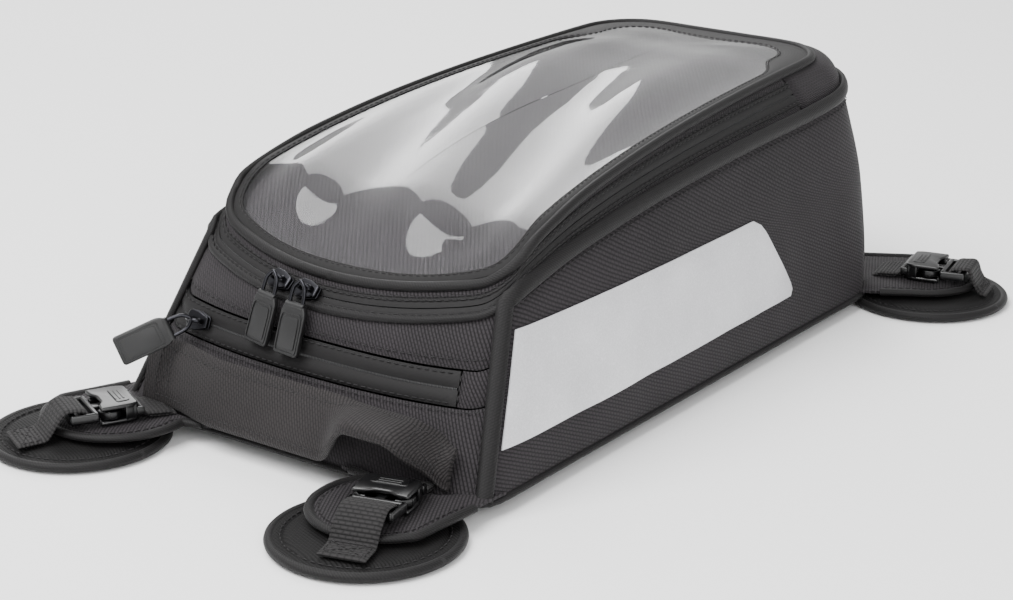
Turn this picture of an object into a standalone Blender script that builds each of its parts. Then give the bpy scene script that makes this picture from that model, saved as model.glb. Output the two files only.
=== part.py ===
"""Magnetic motorcycle tank bag: zipped shell, window lid, front pocket and four magnet flaps.

Units are metres, +Z is up, +Y points to the handlebar end and +X to the rider's right.
The helper geometry works in millimetres and is scaled when a mesh is made.
The origin is under the middle of the object, on the surface it lies on.
"""

import math

import bmesh
import bpy
from mathutils import Matrix, Vector

MM = 0.001
Y_SHIFT = -119.25        # moves the near bottom edge so that the origin is central
GAP = 0.35              # clearance between touching pieces, mm

# Shell, mm
BASE_Z = 5.0            # height of the shell's bottom edge
BASE_HALF_NEAR = 86.0
BASE_HALF_FAR = 77.0
BASE_NEAR_Y = -19.0
BASE_FAR_Y = 283.0
BASE_CORNER_NEAR = 14.0
BASE_CORNER_FAR = 30.0
SEAM_HALF_NEAR = 70.5
SEAM_HALF_FAR = 66.0
SEAM_FAR_Y = 280.0
SEAM_CORNER_FAR = 35.0
RIM_HALF_NEAR = 68.5
RIM_HALF_FAR = 55.0
RIM_FAR_Y = 264.5
RIM_CORNER_FAR = 25.0
SIDE_BULGE = 3.0
PANEL_T = 2.2

# Main zip's near arc: circles about one tilted axis
ARC_TILT = math.radians(29.0)
ARC_R = 146.0
ARC_FRONT = (4.6, 59.7)
ZIP_END_Y = 222.0

# Pocket zip levels on the rider end panel, as fractions of its height, middle and corner
POCKET_LOW = (0.54, 0.50)
POCKET_HIGH = (0.79, 0.70)

# Handle, straps, flaps and discs, mm
HANDLE_LOW_Z = 9.6
HANDLE_HIGH_Z = 32.5
STRAP_W = 20.0
STRAP_T = 1.6
DISC_R = 34.0
DISC_EDGE = 3.6
DISC_TOP = 5.0
FLAP_LOW = 6.2
FLAP_T = 2.2
BUCKLE_Z = 9.0
BUCKLE_H = 7.2
BUCKLE_W = 21.0

# Corner units: disc centre, flap tip centre, flap tip radius, buckle start, buckle heading (degrees)
UNITS = {
    "near_right": ((63.5, -50.0), (61.5, -37.0), 26.0, (58.0, -20.6), -74.0),
    "near_left": ((-79.0, -45.0), (-74.0, -30.0), 27.0, (-62.0, -20.8), -117.0),
    "far_right": ((93.0, 288.5), (86.0, 294.0), 25.0, (73.5, 287.5), 14.0),
    "far_left": ((-93.0, 288.5), (-86.0, 294.0), 25.0, (-73.5, 287.5), 166.0),
}

for old in list(bpy.data.objects):
    bpy.data.objects.remove(old, do_unlink=True)

COLLECTION = bpy.data.collections.new("tank_bag")
bpy.context.scene.collection.children.link(COLLECTION)


def material(name, colour, roughness, metallic=0.0):
    """A Principled material."""
    mat = bpy.data.materials.get(name)
    if mat:
        return mat
    mat = bpy.data.materials.new(name)
    mat.use_nodes = True
    shader = mat.node_tree.nodes["Principled BSDF"]
    shader.inputs["Base Color"].default_value = (*colour, 1.0)
    shader.inputs["Roughness"].default_value = roughness
    shader.inputs["Metallic"].default_value = metallic
    return mat


FABRIC = material("ribbed_nylon", (0.035, 0.033, 0.036), 0.75)
LINING = material("plain_nylon", (0.025, 0.025, 0.027), 0.7)
TAPE = material("zip_tape", (0.02, 0.02, 0.022), 0.6)
PIPING = material("piping", (0.012, 0.012, 0.014), 0.5)
WEBBING = material("webbing", (0.03, 0.028, 0.031), 0.65)
PLASTIC = material("black_plastic", (0.012, 0.012, 0.013), 0.25)
RUBBER = material("soft_rubber", (0.022, 0.022, 0.024), 0.5)
METAL = material("dark_metal", (0.05, 0.05, 0.055), 0.3, 1.0)
FILM = material("clear_film", (0.75, 0.76, 0.78), 0.12)
SILVER = material("reflective_silver", (0.62, 0.62, 0.64), 0.45, 0.3)


def link(obj, mat):
    """Puts an object in the collection with one material."""
    COLLECTION.objects.link(obj)
    obj.data.materials.clear()
    obj.data.materials.append(mat)
    return obj


def metres(point):
    """A millimetre point in the object's frame, in metres."""
    return Vector((point[0] * MM, (point[1] + Y_SHIFT) * MM, point[2] * MM))


def set_origin(obj, point):
    """Moves an object's origin to a millimetre point, keeping its shape in place."""
    place = metres(point)
    obj.data.transform(Matrix.Translation(-(place - obj.location)))
    obj.location = place


def lerp(a, b, t):
    return a + (b - a) * t


def smooth(t):
    t = min(max(t, 0.0), 1.0)
    return t * t * (3.0 - 2.0 * t)


# ---------------------------------------------------------------- shell rings
def arc_point(radius, lift, angle):
    """A point of the near end, on a circle about the zip's tilted axis."""
    cy = ARC_FRONT[0] + ARC_R * math.cos(ARC_TILT)
    cz = ARC_FRONT[1] + ARC_R * math.sin(ARC_TILT)
    y = cy - radius * math.cos(angle) * math.cos(ARC_TILT) - lift * math.sin(ARC_TILT)
    z = cz - radius * math.cos(angle) * math.sin(ARC_TILT) + lift * math.cos(ARC_TILT)
    return Vector((radius * math.sin(angle), y, z))


def rim_height(y):
    """Height of the lid's rim at a distance from the rider end."""
    low = 64.3 + (y - 9.2) * math.tan(ARC_TILT)
    high = 88.0 + 19.6 * (1.0 - math.exp(-(y - 45.0) / 85.0)) * 1.07
    return lerp(low, high, smooth((y - 14.0) / 36.0))


def seam_height(y):
    """Height of the side seam at a distance from the rider end."""
    low = 55.1 + (y - 0.4) * math.tan(ARC_TILT)
    high = 73.5 + 20.0 * (1.0 - math.exp(-(y - 40.0) / 105.0))
    high = high + 4.0 * smooth((y - 225.0) / 55.0)
    return lerp(low, high, smooth((y - 10.0) / 34.0))


def half_ring(arc, half_near, half_far, far_y, far_r, height, near_end, side_start):
    """Points of a ring's right half, from the near centre to the far centre."""
    points = list(arc)
    a = points[-1]
    tangent = (points[-1] - points[-2]).normalized()
    b = Vector((half_near, side_start, 0.0))
    reach = near_end
    for t in (0.33, 0.66, 1.0):
        c1 = Vector((a.x, a.y, 0.0)) + Vector((tangent.x, tangent.y, 0.0)) * reach
        c2 = b - Vector((0.0, 1.0, 0.0)) * reach
        s = 1.0 - t
        flat = s * s * s * Vector((a.x, a.y, 0.0)) + 3 * s * s * t * c1
        flat = flat + 3 * s * t * t * c2 + t * t * t * b
        points.append(Vector((flat.x, flat.y, height(flat.y))))
    end = far_y - far_r
    for i in range(1, 9):
        t = i / 8.0
        y = lerp(side_start, end, t)
        points.append(Vector((lerp(half_near, half_far, t), y, height(y))))
    for i in range(1, 5):
        angle = math.radians(22.5 * i)
        x = half_far - far_r + far_r * math.cos(angle)
        y = end + far_r * math.sin(angle)
        points.append(Vector((x, y, height(y))))
    for t in (0.5, 1.0):
        x = (half_far - far_r) * (1.0 - t)
        points.append(Vector((x, far_y, height(far_y))))
    return points


def arc_half(radius, lift, half_width):
    top = math.asin(half_width / radius)
    return [arc_point(radius, lift, top * i / 4.0) for i in range(5)]


def base_half():
    near = [Vector((70.0 * i / 4.0, BASE_NEAR_Y, BASE_Z)) for i in range(5)]
    return half_ring(near, BASE_HALF_NEAR, BASE_HALF_FAR, BASE_FAR_Y, BASE_CORNER_FAR,
                     lambda y: BASE_Z, 8.0, BASE_NEAR_Y + BASE_CORNER_NEAR)


SEAM_RADIUS = ARC_R + 6.25
RIM_RADIUS = ARC_R - 6.25
BASE = base_half()
SEAM = half_ring(arc_half(SEAM_RADIUS, -1.8, 60.0), SEAM_HALF_NEAR, SEAM_HALF_FAR,
                 SEAM_FAR_Y, SEAM_CORNER_FAR, seam_height, 6.5, 25.0)
RIM = half_ring(arc_half(RIM_RADIUS, 1.8, 58.5), RIM_HALF_NEAR, RIM_HALF_FAR,
                RIM_FAR_Y, RIM_CORNER_FAR, rim_height, 9.5, 39.0)
HALF = len(BASE) - 1            # index of the far centre
CORNER = 6                      # index of the near side seam
SIDE_END = 15                   # index where the far corner starts
FAR_SEAM = 19                   # index where the far corner ends
LEVELS = ((0.0, 0.0), (0.27, 0.25), POCKET_LOW, POCKET_HIGH, (1.0, 1.0))
GUSSET = ((0.12, 0.28), (0.36, 0.50), (0.62, 0.72), (1.0, 1.0))


def shell_half():
    """Rows of the right half's outer surface, bottom edge first and lid rim last."""
    rows = []
    for middle, corner in LEVELS:
        row = []
        for i, (low, high) in enumerate(zip(BASE, SEAM)):
            t = lerp(middle, corner, smooth(i / 5.5))
            p = low.lerp(high, t)
            swell = SIDE_BULGE * 4.0 * t * (1.0 - t)
            if i > CORNER:
                out = Vector((p.x, 0.0 if i <= SIDE_END else p.y - 215.0, 0.0)).normalized()
                p = p + out * swell * smooth((i - CORNER) / 3.0)
            row.append(p)
        rows.append(row)
    for rider, side in GUSSET:
        row = []
        for i, (low, high) in enumerate(zip(SEAM, RIM)):
            t = lerp(rider, side, smooth((i - 4.0) / 5.0))
            p = low.lerp(high, t)
            far = smooth((i - SIDE_END + 1) / 4.0)
            swell = 4.0 * t * (1.0 - t) * lerp(0.6, 4.5, far)
            out = Vector((0.75, 0.0, 0.65)).lerp(Vector((0.0, 0.6, 0.8)), far)
            if i > CORNER:
                p = p + out.normalized() * swell
            row.append(p)
        rows.append(row)
    return rows


HALF_ROWS = shell_half()


def full_row(row):
    """A whole ring's row, from the near centre round the right side and back up the left."""
    left = [Vector((-p.x, p.y, p.z)) for p in reversed(row[1:-1])]
    return row + left


SHELL = [full_row(row) for row in HALF_ROWS]
RING = len(SHELL[0])


def ring_normals(rows):
    """Outward unit normals at each vertex of the closed surface."""
    normals = []
    count = len(rows)
    for v in range(count):
        line = []
        for u in range(RING):
            ahead = rows[v][(u + 1) % RING] - rows[v][(u - 1) % RING]
            up = rows[min(v + 1, count - 1)][u] - rows[max(v - 1, 0)][u]
            line.append(ahead.cross(up).normalized())
        normals.append(line)
    return normals


NORMALS = ring_normals(SHELL)


def blend_grid(grid, u, v):
    """Bilinear value of a grid of vectors at fractional indices."""
    v = min(max(v, 0.0), len(grid) - 1.0)
    v0 = min(int(math.floor(v)), len(grid) - 2)
    u0 = int(math.floor(u + 1e-9))
    fu = u - u0
    fv = v - v0
    a = grid[v0][u0 % RING].lerp(grid[v0][(u0 + 1) % RING], fu)
    b = grid[v0 + 1][u0 % RING].lerp(grid[v0 + 1][(u0 + 1) % RING], fu)
    return a.lerp(b, fv)


def on_shell(u, v, out):
    """A point over the shell: out is the distance outside its outer surface."""
    return blend_grid(SHELL, u, v) + blend_grid(NORMALS, u, v) * out


def step_u(u, v, distance):
    """Moves along a ring by about the given millimetres."""
    size = (blend_grid(SHELL, u + 0.25, v) - blend_grid(SHELL, u - 0.25, v)).length * 2.0
    return u + distance / max(size, 0.5)


def step_v(u, v, distance):
    """Moves up the shell by about the given millimetres."""
    low = max(v - 0.2, 0.0)
    high = min(v + 0.2, len(SHELL) - 1.0)
    size = (blend_grid(SHELL, u, high) - blend_grid(SHELL, u, low)).length / (high - low)
    return v + distance / max(size, 0.5)


def closed_solid(name, outer, inner, mat, ring=False):
    """A solid between two matching grids of points, each a list of rows."""
    rows = len(outer)
    cols = len(outer[0])
    mesh = bpy.data.meshes.new(name)
    bm = bmesh.new()
    top = [[bm.verts.new(metres(p)) for p in row] for row in outer]
    low = [[bm.verts.new(metres(p)) for p in row] for row in inner]
    last = cols if ring else cols - 1
    for r in range(rows - 1):
        for c in range(last):
            d = (c + 1) % cols
            bm.faces.new((top[r][c], top[r][d], top[r + 1][d], top[r + 1][c]))
            bm.faces.new((low[r][c], low[r + 1][c], low[r + 1][d], low[r][d]))
    for c in range(last):
        d = (c + 1) % cols
        bm.faces.new((top[0][c], low[0][c], low[0][d], top[0][d]))
        bm.faces.new((top[-1][c], top[-1][d], low[-1][d], low[-1][c]))
    if not ring:
        for r in range(rows - 1):
            bm.faces.new((top[r][0], top[r + 1][0], low[r + 1][0], low[r][0]))
            bm.faces.new((top[r][-1], low[r][-1], low[r + 1][-1], top[r + 1][-1]))
    bmesh.ops.recalc_face_normals(bm, faces=bm.faces)
    bm.to_mesh(mesh)
    bm.free()
    return link(bpy.data.objects.new(name, mesh), mat)


def inner_lines(start, end):
    """The start, each whole index between, and the end."""
    first = int(math.floor(start + 1e-6)) + 1
    middle = [float(i) for i in range(first, int(math.ceil(end - 1e-6)))]
    return [start] + middle + [end]


def shell_panel(name, u0, u1, v0, v1, mat, outside=0.0, thickness=PANEL_T,
                edges=(GAP, GAP, GAP, GAP)):
    """A panel of the shell between ring indices and levels, trimmed at its four edges."""
    left, right, bottom, top = [e * 0.5 for e in edges]
    a = step_u(u0, 0.5 * (v0 + v1), left)
    b = step_u(u1, 0.5 * (v0 + v1), -right)
    us = inner_lines(a, b)
    outer = []
    inner = []
    vs = inner_lines(v0, v1)
    for j, v in enumerate(vs):
        out_row = []
        in_row = []
        for u in us:
            w = v
            if j == 0:
                w = step_v(u, v + 0.01, bottom)
            if j == len(vs) - 1:
                w = step_v(u, v - 0.01, -top)
            out_row.append(on_shell(u, w, outside))
            in_row.append(on_shell(u, w, outside - thickness))
        outer.append(out_row)
        inner.append(in_row)
    return closed_solid(name, outer, inner, mat)


def find_on_side(y, z):
    """Ring index and level of the right side's outer surface at a height and a distance."""
    u, v = 10.0, 2.0
    for _ in range(30):
        p = blend_grid(SHELL, u, v)
        pu = (blend_grid(SHELL, u + 0.1, v) - p) * 10.0
        pv = (blend_grid(SHELL, u, v + 0.1) - p) * 10.0
        ey = y - p.y
        ez = z - p.z
        det = pu.y * pv.z - pu.z * pv.y
        u = min(max(u + 0.7 * (ey * pv.z - ez * pv.y) / det, 5.5), 18.8)
        v = min(max(v + 0.7 * (pu.y * ez - pu.z * ey) / det, 0.05), 3.95)
    return u, v


# ---------------------------------------------------------------- shell panels
left_u = RING - FAR_SEAM
side_right = shell_panel("side_panel_right", CORNER, FAR_SEAM, 0, 4, FABRIC)
side_left = shell_panel("side_panel_left", left_u, RING - CORNER, 0, 4, FABRIC)
far_panel = shell_panel("bar_end_panel", FAR_SEAM, left_u, 0, 4, FABRIC)
shell_panel("rider_panel_lower", -CORNER, CORNER, 0, 2, FABRIC)
shell_panel("rider_panel_upper", -CORNER, CORNER, 3, 4, FABRIC)
shell_panel("pocket_zip_tape", -CORNER, 4.0, 2, 3, TAPE)
shell_panel("pocket_zip_end", 4.0, CORNER, 2, 3, FABRIC)


def ring_index_at(y, row):
    """Ring index on the right side where a row reaches a distance."""
    for i in range(CORNER, HALF):
        if row[i].y <= y <= row[i + 1].y:
            return i + (y - row[i].y) / (row[i + 1].y - row[i].y)
    return float(HALF)


zip_end = ring_index_at(ZIP_END_Y, SHELL[6])
WIDE = 2.4 * GAP
shell_panel("zip_gusset_body", -zip_end, zip_end, 4, 5, FABRIC, thickness=1.8,
            edges=(GAP, GAP, WIDE, WIDE))
shell_panel("zip_tape_body", -zip_end, zip_end, 5, 6, TAPE, thickness=1.6,
            edges=(GAP, GAP, WIDE, WIDE))
shell_panel("zip_tape_lid", -zip_end, zip_end, 6, 7, TAPE, thickness=1.6,
            edges=(GAP, GAP, WIDE, WIDE))
shell_panel("lid_gusset", -zip_end, zip_end, 7, 8, FABRIC, thickness=1.6,
            edges=(GAP, GAP, WIDE, 3.8))
shell_panel("bar_end_gusset", zip_end, RING - zip_end, 4, 8, FABRIC,
            edges=(GAP, GAP, GAP, 5.0))


def flat_ring(row, inset, z):
    """A ring's plan outline moved inwards, at one height."""
    points = []
    for i, p in enumerate(row):
        a = row[i - 1]
        b = row[(i + 1) % len(row)]
        along = Vector((b.x - a.x, b.y - a.y, 0.0)).normalized()
        points.append(Vector((p.x - along.y * inset, p.y + along.x * inset, z)))
    return points


def plate(name, outline, z_low, thickness, mat, bevel=0.0):
    """A flat plate from a plan outline, as a filled 2D curve."""
    curve = bpy.data.curves.new(name, "CURVE")
    curve.dimensions = "2D"
    curve.fill_mode = "BOTH"
    curve.extrude = 0.5 * thickness * MM
    spline = curve.splines.new("POLY")
    spline.points.add(len(outline) - 1)
    for point, p in zip(spline.points, outline):
        point.co = (p[0] * MM, (p[1] + Y_SHIFT) * MM, 0.0, 1.0)
    spline.use_cyclic_u = True
    guide = bpy.data.objects.new(name, curve)
    guide.location = (0.0, 0.0, (z_low + 0.5 * thickness) * MM)
    COLLECTION.objects.link(guide)
    return curve_to_mesh(guide, name, mat, bevel)


def curve_to_mesh(guide, name, mat, bevel=0.0):
    """Makes a welded mesh object from a curve object and removes the curve."""
    bpy.context.view_layer.update()
    graph = bpy.context.evaluated_depsgraph_get()
    mesh = bpy.data.meshes.new_from_object(guide.evaluated_get(graph))
    place = guide.matrix_world.copy()
    data = guide.data
    bpy.data.objects.remove(guide, do_unlink=True)
    bpy.data.curves.remove(data)
    bm = bmesh.new()
    bm.from_mesh(mesh)
    bmesh.ops.remove_doubles(bm, verts=bm.verts, dist=0.00001)
    bmesh.ops.recalc_face_normals(bm, faces=bm.faces)
    bm.to_mesh(mesh)
    bm.free()
    mesh.name = name
    obj = bpy.data.objects.new(name, mesh)
    obj.matrix_world = place
    link(obj, mat)
    if bevel > 0.0:
        edge = obj.modifiers.new("rounded_edges", "BEVEL")
        edge.width = bevel * MM
        edge.segments = 1
        edge.limit_method = "ANGLE"
        edge.angle_limit = math.radians(50.0)
    return obj


inner_base = flat_ring(SHELL[0], PANEL_T + 2.2, BASE_Z)
plate("base_panel", inner_base, BASE_Z, 2.0, LINING)
plate("base_pad", flat_ring(SHELL[0], 11.0, 0.0), 0.0, BASE_Z - GAP, RUBBER)

# ---------------------------------------------------------------- lid
RIM_ROW = SHELL[8]


def lid_point(u, inset, drop):
    """A point of the lid: inset from its rim towards the middle line, below its surface."""
    p = blend_grid([RIM_ROW, RIM_ROW], u, 0.0)
    spine = Vector((0.0, min(max(p.y, 50.0), 222.0), 0.0))
    to = Vector((spine.x - p.x, spine.y - p.y, 0.0))
    reach = min(inset, to.length - 1.0)
    q = p + to.normalized() * reach
    return Vector((q.x, q.y, rim_height(q.y) - drop))


def lid_rows(insets, drops):
    return [[lid_point(float(u), w, d) for u in range(RING)] for w, d in zip(insets, drops)]


closed_solid("lid_border", lid_rows((1.9, 4.5, 7.5), (0.3, -0.4, -0.2)),
             lid_rows((1.9, 4.5, 7.5), (2.0, 1.4, 1.5)), FABRIC, ring=True)


def lid_sheet(name, insets, drops, thickness, mat):
    """A whole sheet inside the rim: rings joined across the middle line."""
    mesh = bpy.data.meshes.new(name)
    bm = bmesh.new()
    sides = []
    for extra in (0.0, thickness):
        rows = []
        for w, d in zip(insets, drops):
            row = []
            for u in range(RING):
                rise = d(lid_point(float(u), w, 0.0)) if callable(d) else d
                row.append(bm.verts.new(metres(lid_point(float(u), w, rise + extra))))
            rows.append(row)
        sides.append(rows)
    top, low = sides
    for r in range(len(insets) - 1):
        for c in range(RING):
            d = (c + 1) % RING
            bm.faces.new((top[r][c], top[r][d], top[r + 1][d], top[r + 1][c]))
            bm.faces.new((low[r][c], low[r + 1][c], low[r + 1][d], low[r][d]))
    for rows in (top, low):
        last = rows[-1]
        for c in range(HALF):
            a, b = last[c], last[c + 1]
            e, f = last[-c - 1 if c else 0], last[-c - 1]
            left_a = last[(RING - c) % RING]
            left_b = last[(RING - c - 1) % RING]
            ring = []
            for vert in (a, b, left_b, left_a):
                if vert not in ring:
                    ring.append(vert)
            if len(ring) >= 3:
                bm.faces.new(ring)
    for c in range(RING):
        d = (c + 1) % RING
        bm.faces.new((top[0][c], low[0][c], low[0][d], top[0][d]))
    bmesh.ops.recalc_face_normals(bm, faces=bm.faces)
    bm.to_mesh(mesh)
    bm.free()
    return link(bpy.data.objects.new(name, mesh), mat)


def film_drop(p):
    """The film's rise over the rim: low at the rider end, a pocket's height at the bar end."""
    rise = lerp(0.8, 5.6, smooth((p.y - 70.0) / 110.0))
    return -rise


def film_shoulder(p):
    """The film just inside its edge."""
    return 0.6 * film_drop(p) + 0.4 * film_edge(p)


def film_edge(p):
    """The film's edge: sewn down at the sides, lifted along the bar end's mouth."""
    mouth = smooth((p.y - 228.0) / 24.0)
    return -lerp(0.4, 4.6, mouth)


lid_sheet("window_film", (8.2, 15.0, 32.0), (film_edge, film_shoulder, film_drop), 0.8, FILM)
lid_sheet("map_pocket_floor", (2.6, 12.0, 30.0), (2.9, 5.0, 5.4), 1.6, LINING)


def tube(name, points, radius, mat, cyclic=False, sides=1):
    """A bent tube along millimetre points, with closed ends."""
    curve = bpy.data.curves.new(name, "CURVE")
    curve.dimensions = "3D"
    curve.bevel_depth = radius * MM
    curve.bevel_resolution = sides
    curve.use_fill_caps = not cyclic
    spline = curve.splines.new("POLY")
    spline.points.add(len(points) - 1)
    for point, p in zip(spline.points, points):
        place = metres(p)
        point.co = (place.x, place.y, place.z, 1.0)
    spline.use_cyclic_u = cyclic
    guide = bpy.data.objects.new(name, curve)
    COLLECTION.objects.link(guide)
    return curve_to_mesh(guide, name, mat)


rim_line = [p + Vector((0.0, 0.0, 0.9)) + blend_grid(NORMALS, float(u), 8.0) * 0.1
            for u, p in enumerate(RIM_ROW)]
tube("lid_piping", rim_line, 1.3, PIPING, cyclic=True)

seam_line = []
for v in (0.25, 1.0, 2.0, 3.0):
    seam_line.append(on_shell(CORNER, v, 1.9))
for u in range(CORNER + 1, HALF + 1):
    seam_line.append(on_shell(float(u), 4.0, 1.9))
mirrored = [Vector((-p.x, p.y, p.z)) for p in reversed(seam_line[:-1])]
tube("seam_piping", seam_line + mirrored, 1.5, PIPING)

# ---------------------------------------------------------------- reflective patches
PATCH_LOW_Z = 21.0
PATCH_HIGH_Z = 57.5


def patch_grid(out):
    """Rows of the right side's patch: straight edges, a slanted end and a rounded corner."""
    rows = []
    for t in (0.0, 0.12, 0.5, 0.88, 1.0):
        z = lerp(PATCH_LOW_Z, PATCH_HIGH_Z, t)
        start = lerp(9.5, 19.5, t)
        end = lerp(203.0, 178.5, t)
        if t in (0.0, 1.0):
            end = end - 3.5
        row = []
        for s in range(9):
            u, v = find_on_side(lerp(start, end, s / 8.0), z)
            row.append(on_shell(u, v, out))
        rows.append(row)
    return rows


patch_out = patch_grid(1.3)
patch_in = patch_grid(0.75)
closed_solid("reflective_right", patch_out, patch_in, SILVER)
flip = Vector((-1.0, 1.0, 1.0))
closed_solid("reflective_left", [[p * flip for p in row] for row in patch_out],
             [[p * flip for p in row] for row in patch_in], SILVER)

# ---------------------------------------------------------------- handle
def handle_section(x):
    """Bottom and top edge of the handle's band at a place across the bag."""
    def face_y(z):
        return lerp(BASE_NEAR_Y, 0.5, (z - BASE_Z) / 50.0)
    lift = smooth((x - 20.0) / 20.0) * (1.0 - smooth((x - 56.0) / 16.0))
    ends = smooth((x + 62.0) / 34.0) * (1.0 - smooth((x - 60.0) / 8.0))
    low_z = HANDLE_LOW_Z + 17.0 * lift
    high_z = HANDLE_HIGH_Z - 1.0 * lift - 9.0 * smooth((x - 58.0) / 15.0)
    low_y = face_y(HANDLE_LOW_Z) - 1.6 - 6.4 * ends - 7.0 * lift
    high_y = face_y(high_z) - 1.6 - 6.4 * ends
    mid_y = 0.5 * (low_y + high_y) - 1.5 - 3.0 * lift
    mid_z = 0.5 * (low_z + high_z) + 2.0 * lift
    return [(low_y, low_z), (mid_y, mid_z), (high_y, high_z)]


handle_out = [[], [], []]
handle_in = [[], [], []]
for i in range(17):
    x = lerp(-71.5, 73.5, i / 16.0)
    for k, (y, z) in enumerate(handle_section(x)):
        handle_out[k].append(Vector((x, y - 1.0, z + 0.2)))
        handle_in[k].append(Vector((x, y + 0.9, z - 0.2)))
handle = closed_solid("handle_band", handle_out, handle_in, WEBBING)
HANDLE_AXIS = (0.0, BASE_NEAR_Y - 2.0, HANDLE_LOW_Z)
set_origin(handle, HANDLE_AXIS)


# ---------------------------------------------------------------- zips
def place_frame(origin, x_axis, z_axis):
    """A matrix with the given origin (mm), X axis and approximate Z axis."""
    x = x_axis.normalized()
    y = z_axis.cross(x).normalized()
    z = x.cross(y).normalized()
    base = Matrix((x, y, z)).transposed().to_4x4()
    return Matrix.Translation(metres(origin)) @ base


def rounded_box(name, size, centre, bevel, mat, matrix):
    """A box with rounded edges in a local frame (mm), placed by a matrix."""
    mesh = bpy.data.meshes.new(name)
    bm = bmesh.new()
    bmesh.ops.create_cube(bm, size=1.0)
    bmesh.ops.scale(bm, vec=Vector(size) * MM, verts=bm.verts)
    bmesh.ops.translate(bm, vec=Vector(centre) * MM, verts=bm.verts)
    bmesh.ops.bevel(bm, geom=list(bm.edges), offset=bevel * MM, segments=1, affect="EDGES")
    bm.to_mesh(mesh)
    bm.free()
    obj = bpy.data.objects.new(name, mesh)
    obj.matrix_world = matrix
    return link(obj, mat)


def union(target, other):
    """Joins another object into the target and removes it."""
    join = target.modifiers.new("join", "BOOLEAN")
    join.operation = "UNION"
    join.object = other
    bpy.context.view_layer.update()
    graph = bpy.context.evaluated_depsgraph_get()
    mesh = bpy.data.meshes.new_from_object(target.evaluated_get(graph))
    target.modifiers.clear()
    target.data = mesh
    bpy.data.objects.remove(other, do_unlink=True)
    return target


def cut(target, other):
    """Cuts another object out of the target and removes it."""
    take = target.modifiers.new("cut", "BOOLEAN")
    take.operation = "DIFFERENCE"
    take.object = other
    bpy.context.view_layer.update()
    graph = bpy.context.evaluated_depsgraph_get()
    mesh = bpy.data.meshes.new_from_object(target.evaluated_get(graph))
    target.modifiers.clear()
    target.data = mesh
    bpy.data.objects.remove(other, do_unlink=True)
    return target


def slider(name, origin, along, normal):
    """A zip slider: a waisted body with a raised bridge for the pull."""
    frame = place_frame(origin, along, normal)
    body = rounded_box(name, (10.0, 7.6, 2.6), (0.0, 0.0, 1.7), 0.7, METAL, frame)
    bridge = rounded_box(name + "_bridge", (6.4, 2.6, 3.4), (0.0, 0.0, 4.2), 0.8, METAL, frame)
    return union(body, bridge)


def pull(name, origin, along, down, length, lift):
    """A rubber pull on a wire loop. It hangs from the origin along the down direction."""
    z_axis = along.cross(down).normalized()
    frame = place_frame(origin, along, z_axis)
    side = 1.0 if (frame.to_3x3() @ Vector((0.0, 1.0, 0.0))).dot(down) > 0.0 else -1.0
    tab = rounded_box(name, (11.5, length - 7.0, 2.8),
                      (0.0, side * (length + 7.0) * 0.5, lift), 0.9, RUBBER, frame)
    loop = rounded_box(name + "_loop", (7.6, 8.6, 1.7), (0.0, side * 5.9, lift), 0.5, METAL, frame)
    hole = rounded_box(name + "_hole", (4.4, 3.4, 6.0), (0.0, side * 4.6, lift), 0.2, METAL, frame)
    cut(loop, hole)
    return union(tab, loop)


SLIDER_ANGLES = (-8.0, -2.6)
ZIP_RADIUS = SEAM_RADIUS - 12.5 * 0.36
ZIP_LIFT = -1.8 + 3.6 * 0.36
for number, degrees in enumerate(SLIDER_ANGLES, start=1):
    angle = math.radians(degrees)
    across = on_shell(0.0, 6.4, 0.0) - on_shell(0.0, 5.6, 0.0)
    along = Vector((1.0, 0.0, 0.0))
    normal = along.cross(across).normalized()
    turn = Matrix.Rotation(angle, 3, Vector((0.0, -math.sin(ARC_TILT), math.cos(ARC_TILT))))
    along = turn @ along
    normal = turn @ normal
    spot = arc_point(ZIP_RADIUS, ZIP_LIFT, angle)
    metal = slider("main_slider_%d" % number, spot + normal * 0.35, along, normal)
    hang = Vector((0.0, -0.30, -0.95))
    eye = spot + normal * 7.3
    pull("main_pull_%d" % number, eye, along, hang, 26.5, 0.0)

pocket_normal = (on_shell(0.0, 2.5, 1.0) - on_shell(0.0, 2.5, 0.0)).normalized()
pocket_u = -3.45
spot = on_shell(pocket_u, 2.5, 0.0)
slider("pocket_slider", spot + pocket_normal * 0.5, Vector((1.0, 0.0, 0.0)), pocket_normal)
hang = Vector((-0.56, -0.75, -0.36)).normalized()
across = Vector((0.35, 0.20, -0.90))
across = (across - hang * across.dot(hang)).normalized()
pull("pocket_pull", spot + pocket_normal * 7.6, across, hang, 29.0, 0.0)


# ---------------------------------------------------------------- corner units
def ring_span(row, first, last, out):
    """Plan points along a ring, moved outwards, between two indices."""
    points = []
    for i in range(13):
        u = lerp(first, last, i / 12.0)
        p = blend_grid([row, row], u, 0.0)
        a = blend_grid([row, row], u - 0.3, 0.0)
        b = blend_grid([row, row], u + 0.3, 0.0)
        along = Vector((b.x - a.x, b.y - a.y, 0.0)).normalized()
        points.append(Vector((p.x + along.y * out, p.y - along.x * out, 0.0)))
    return points


FLAP_ROOTS = {
    "near_right": (1.5, 7.0),
    "near_left": (-7.4, -2.0),
    "far_right": (15.4, 20.2),
    "far_left": (RING - 20.2, RING - 15.4),
}


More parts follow.
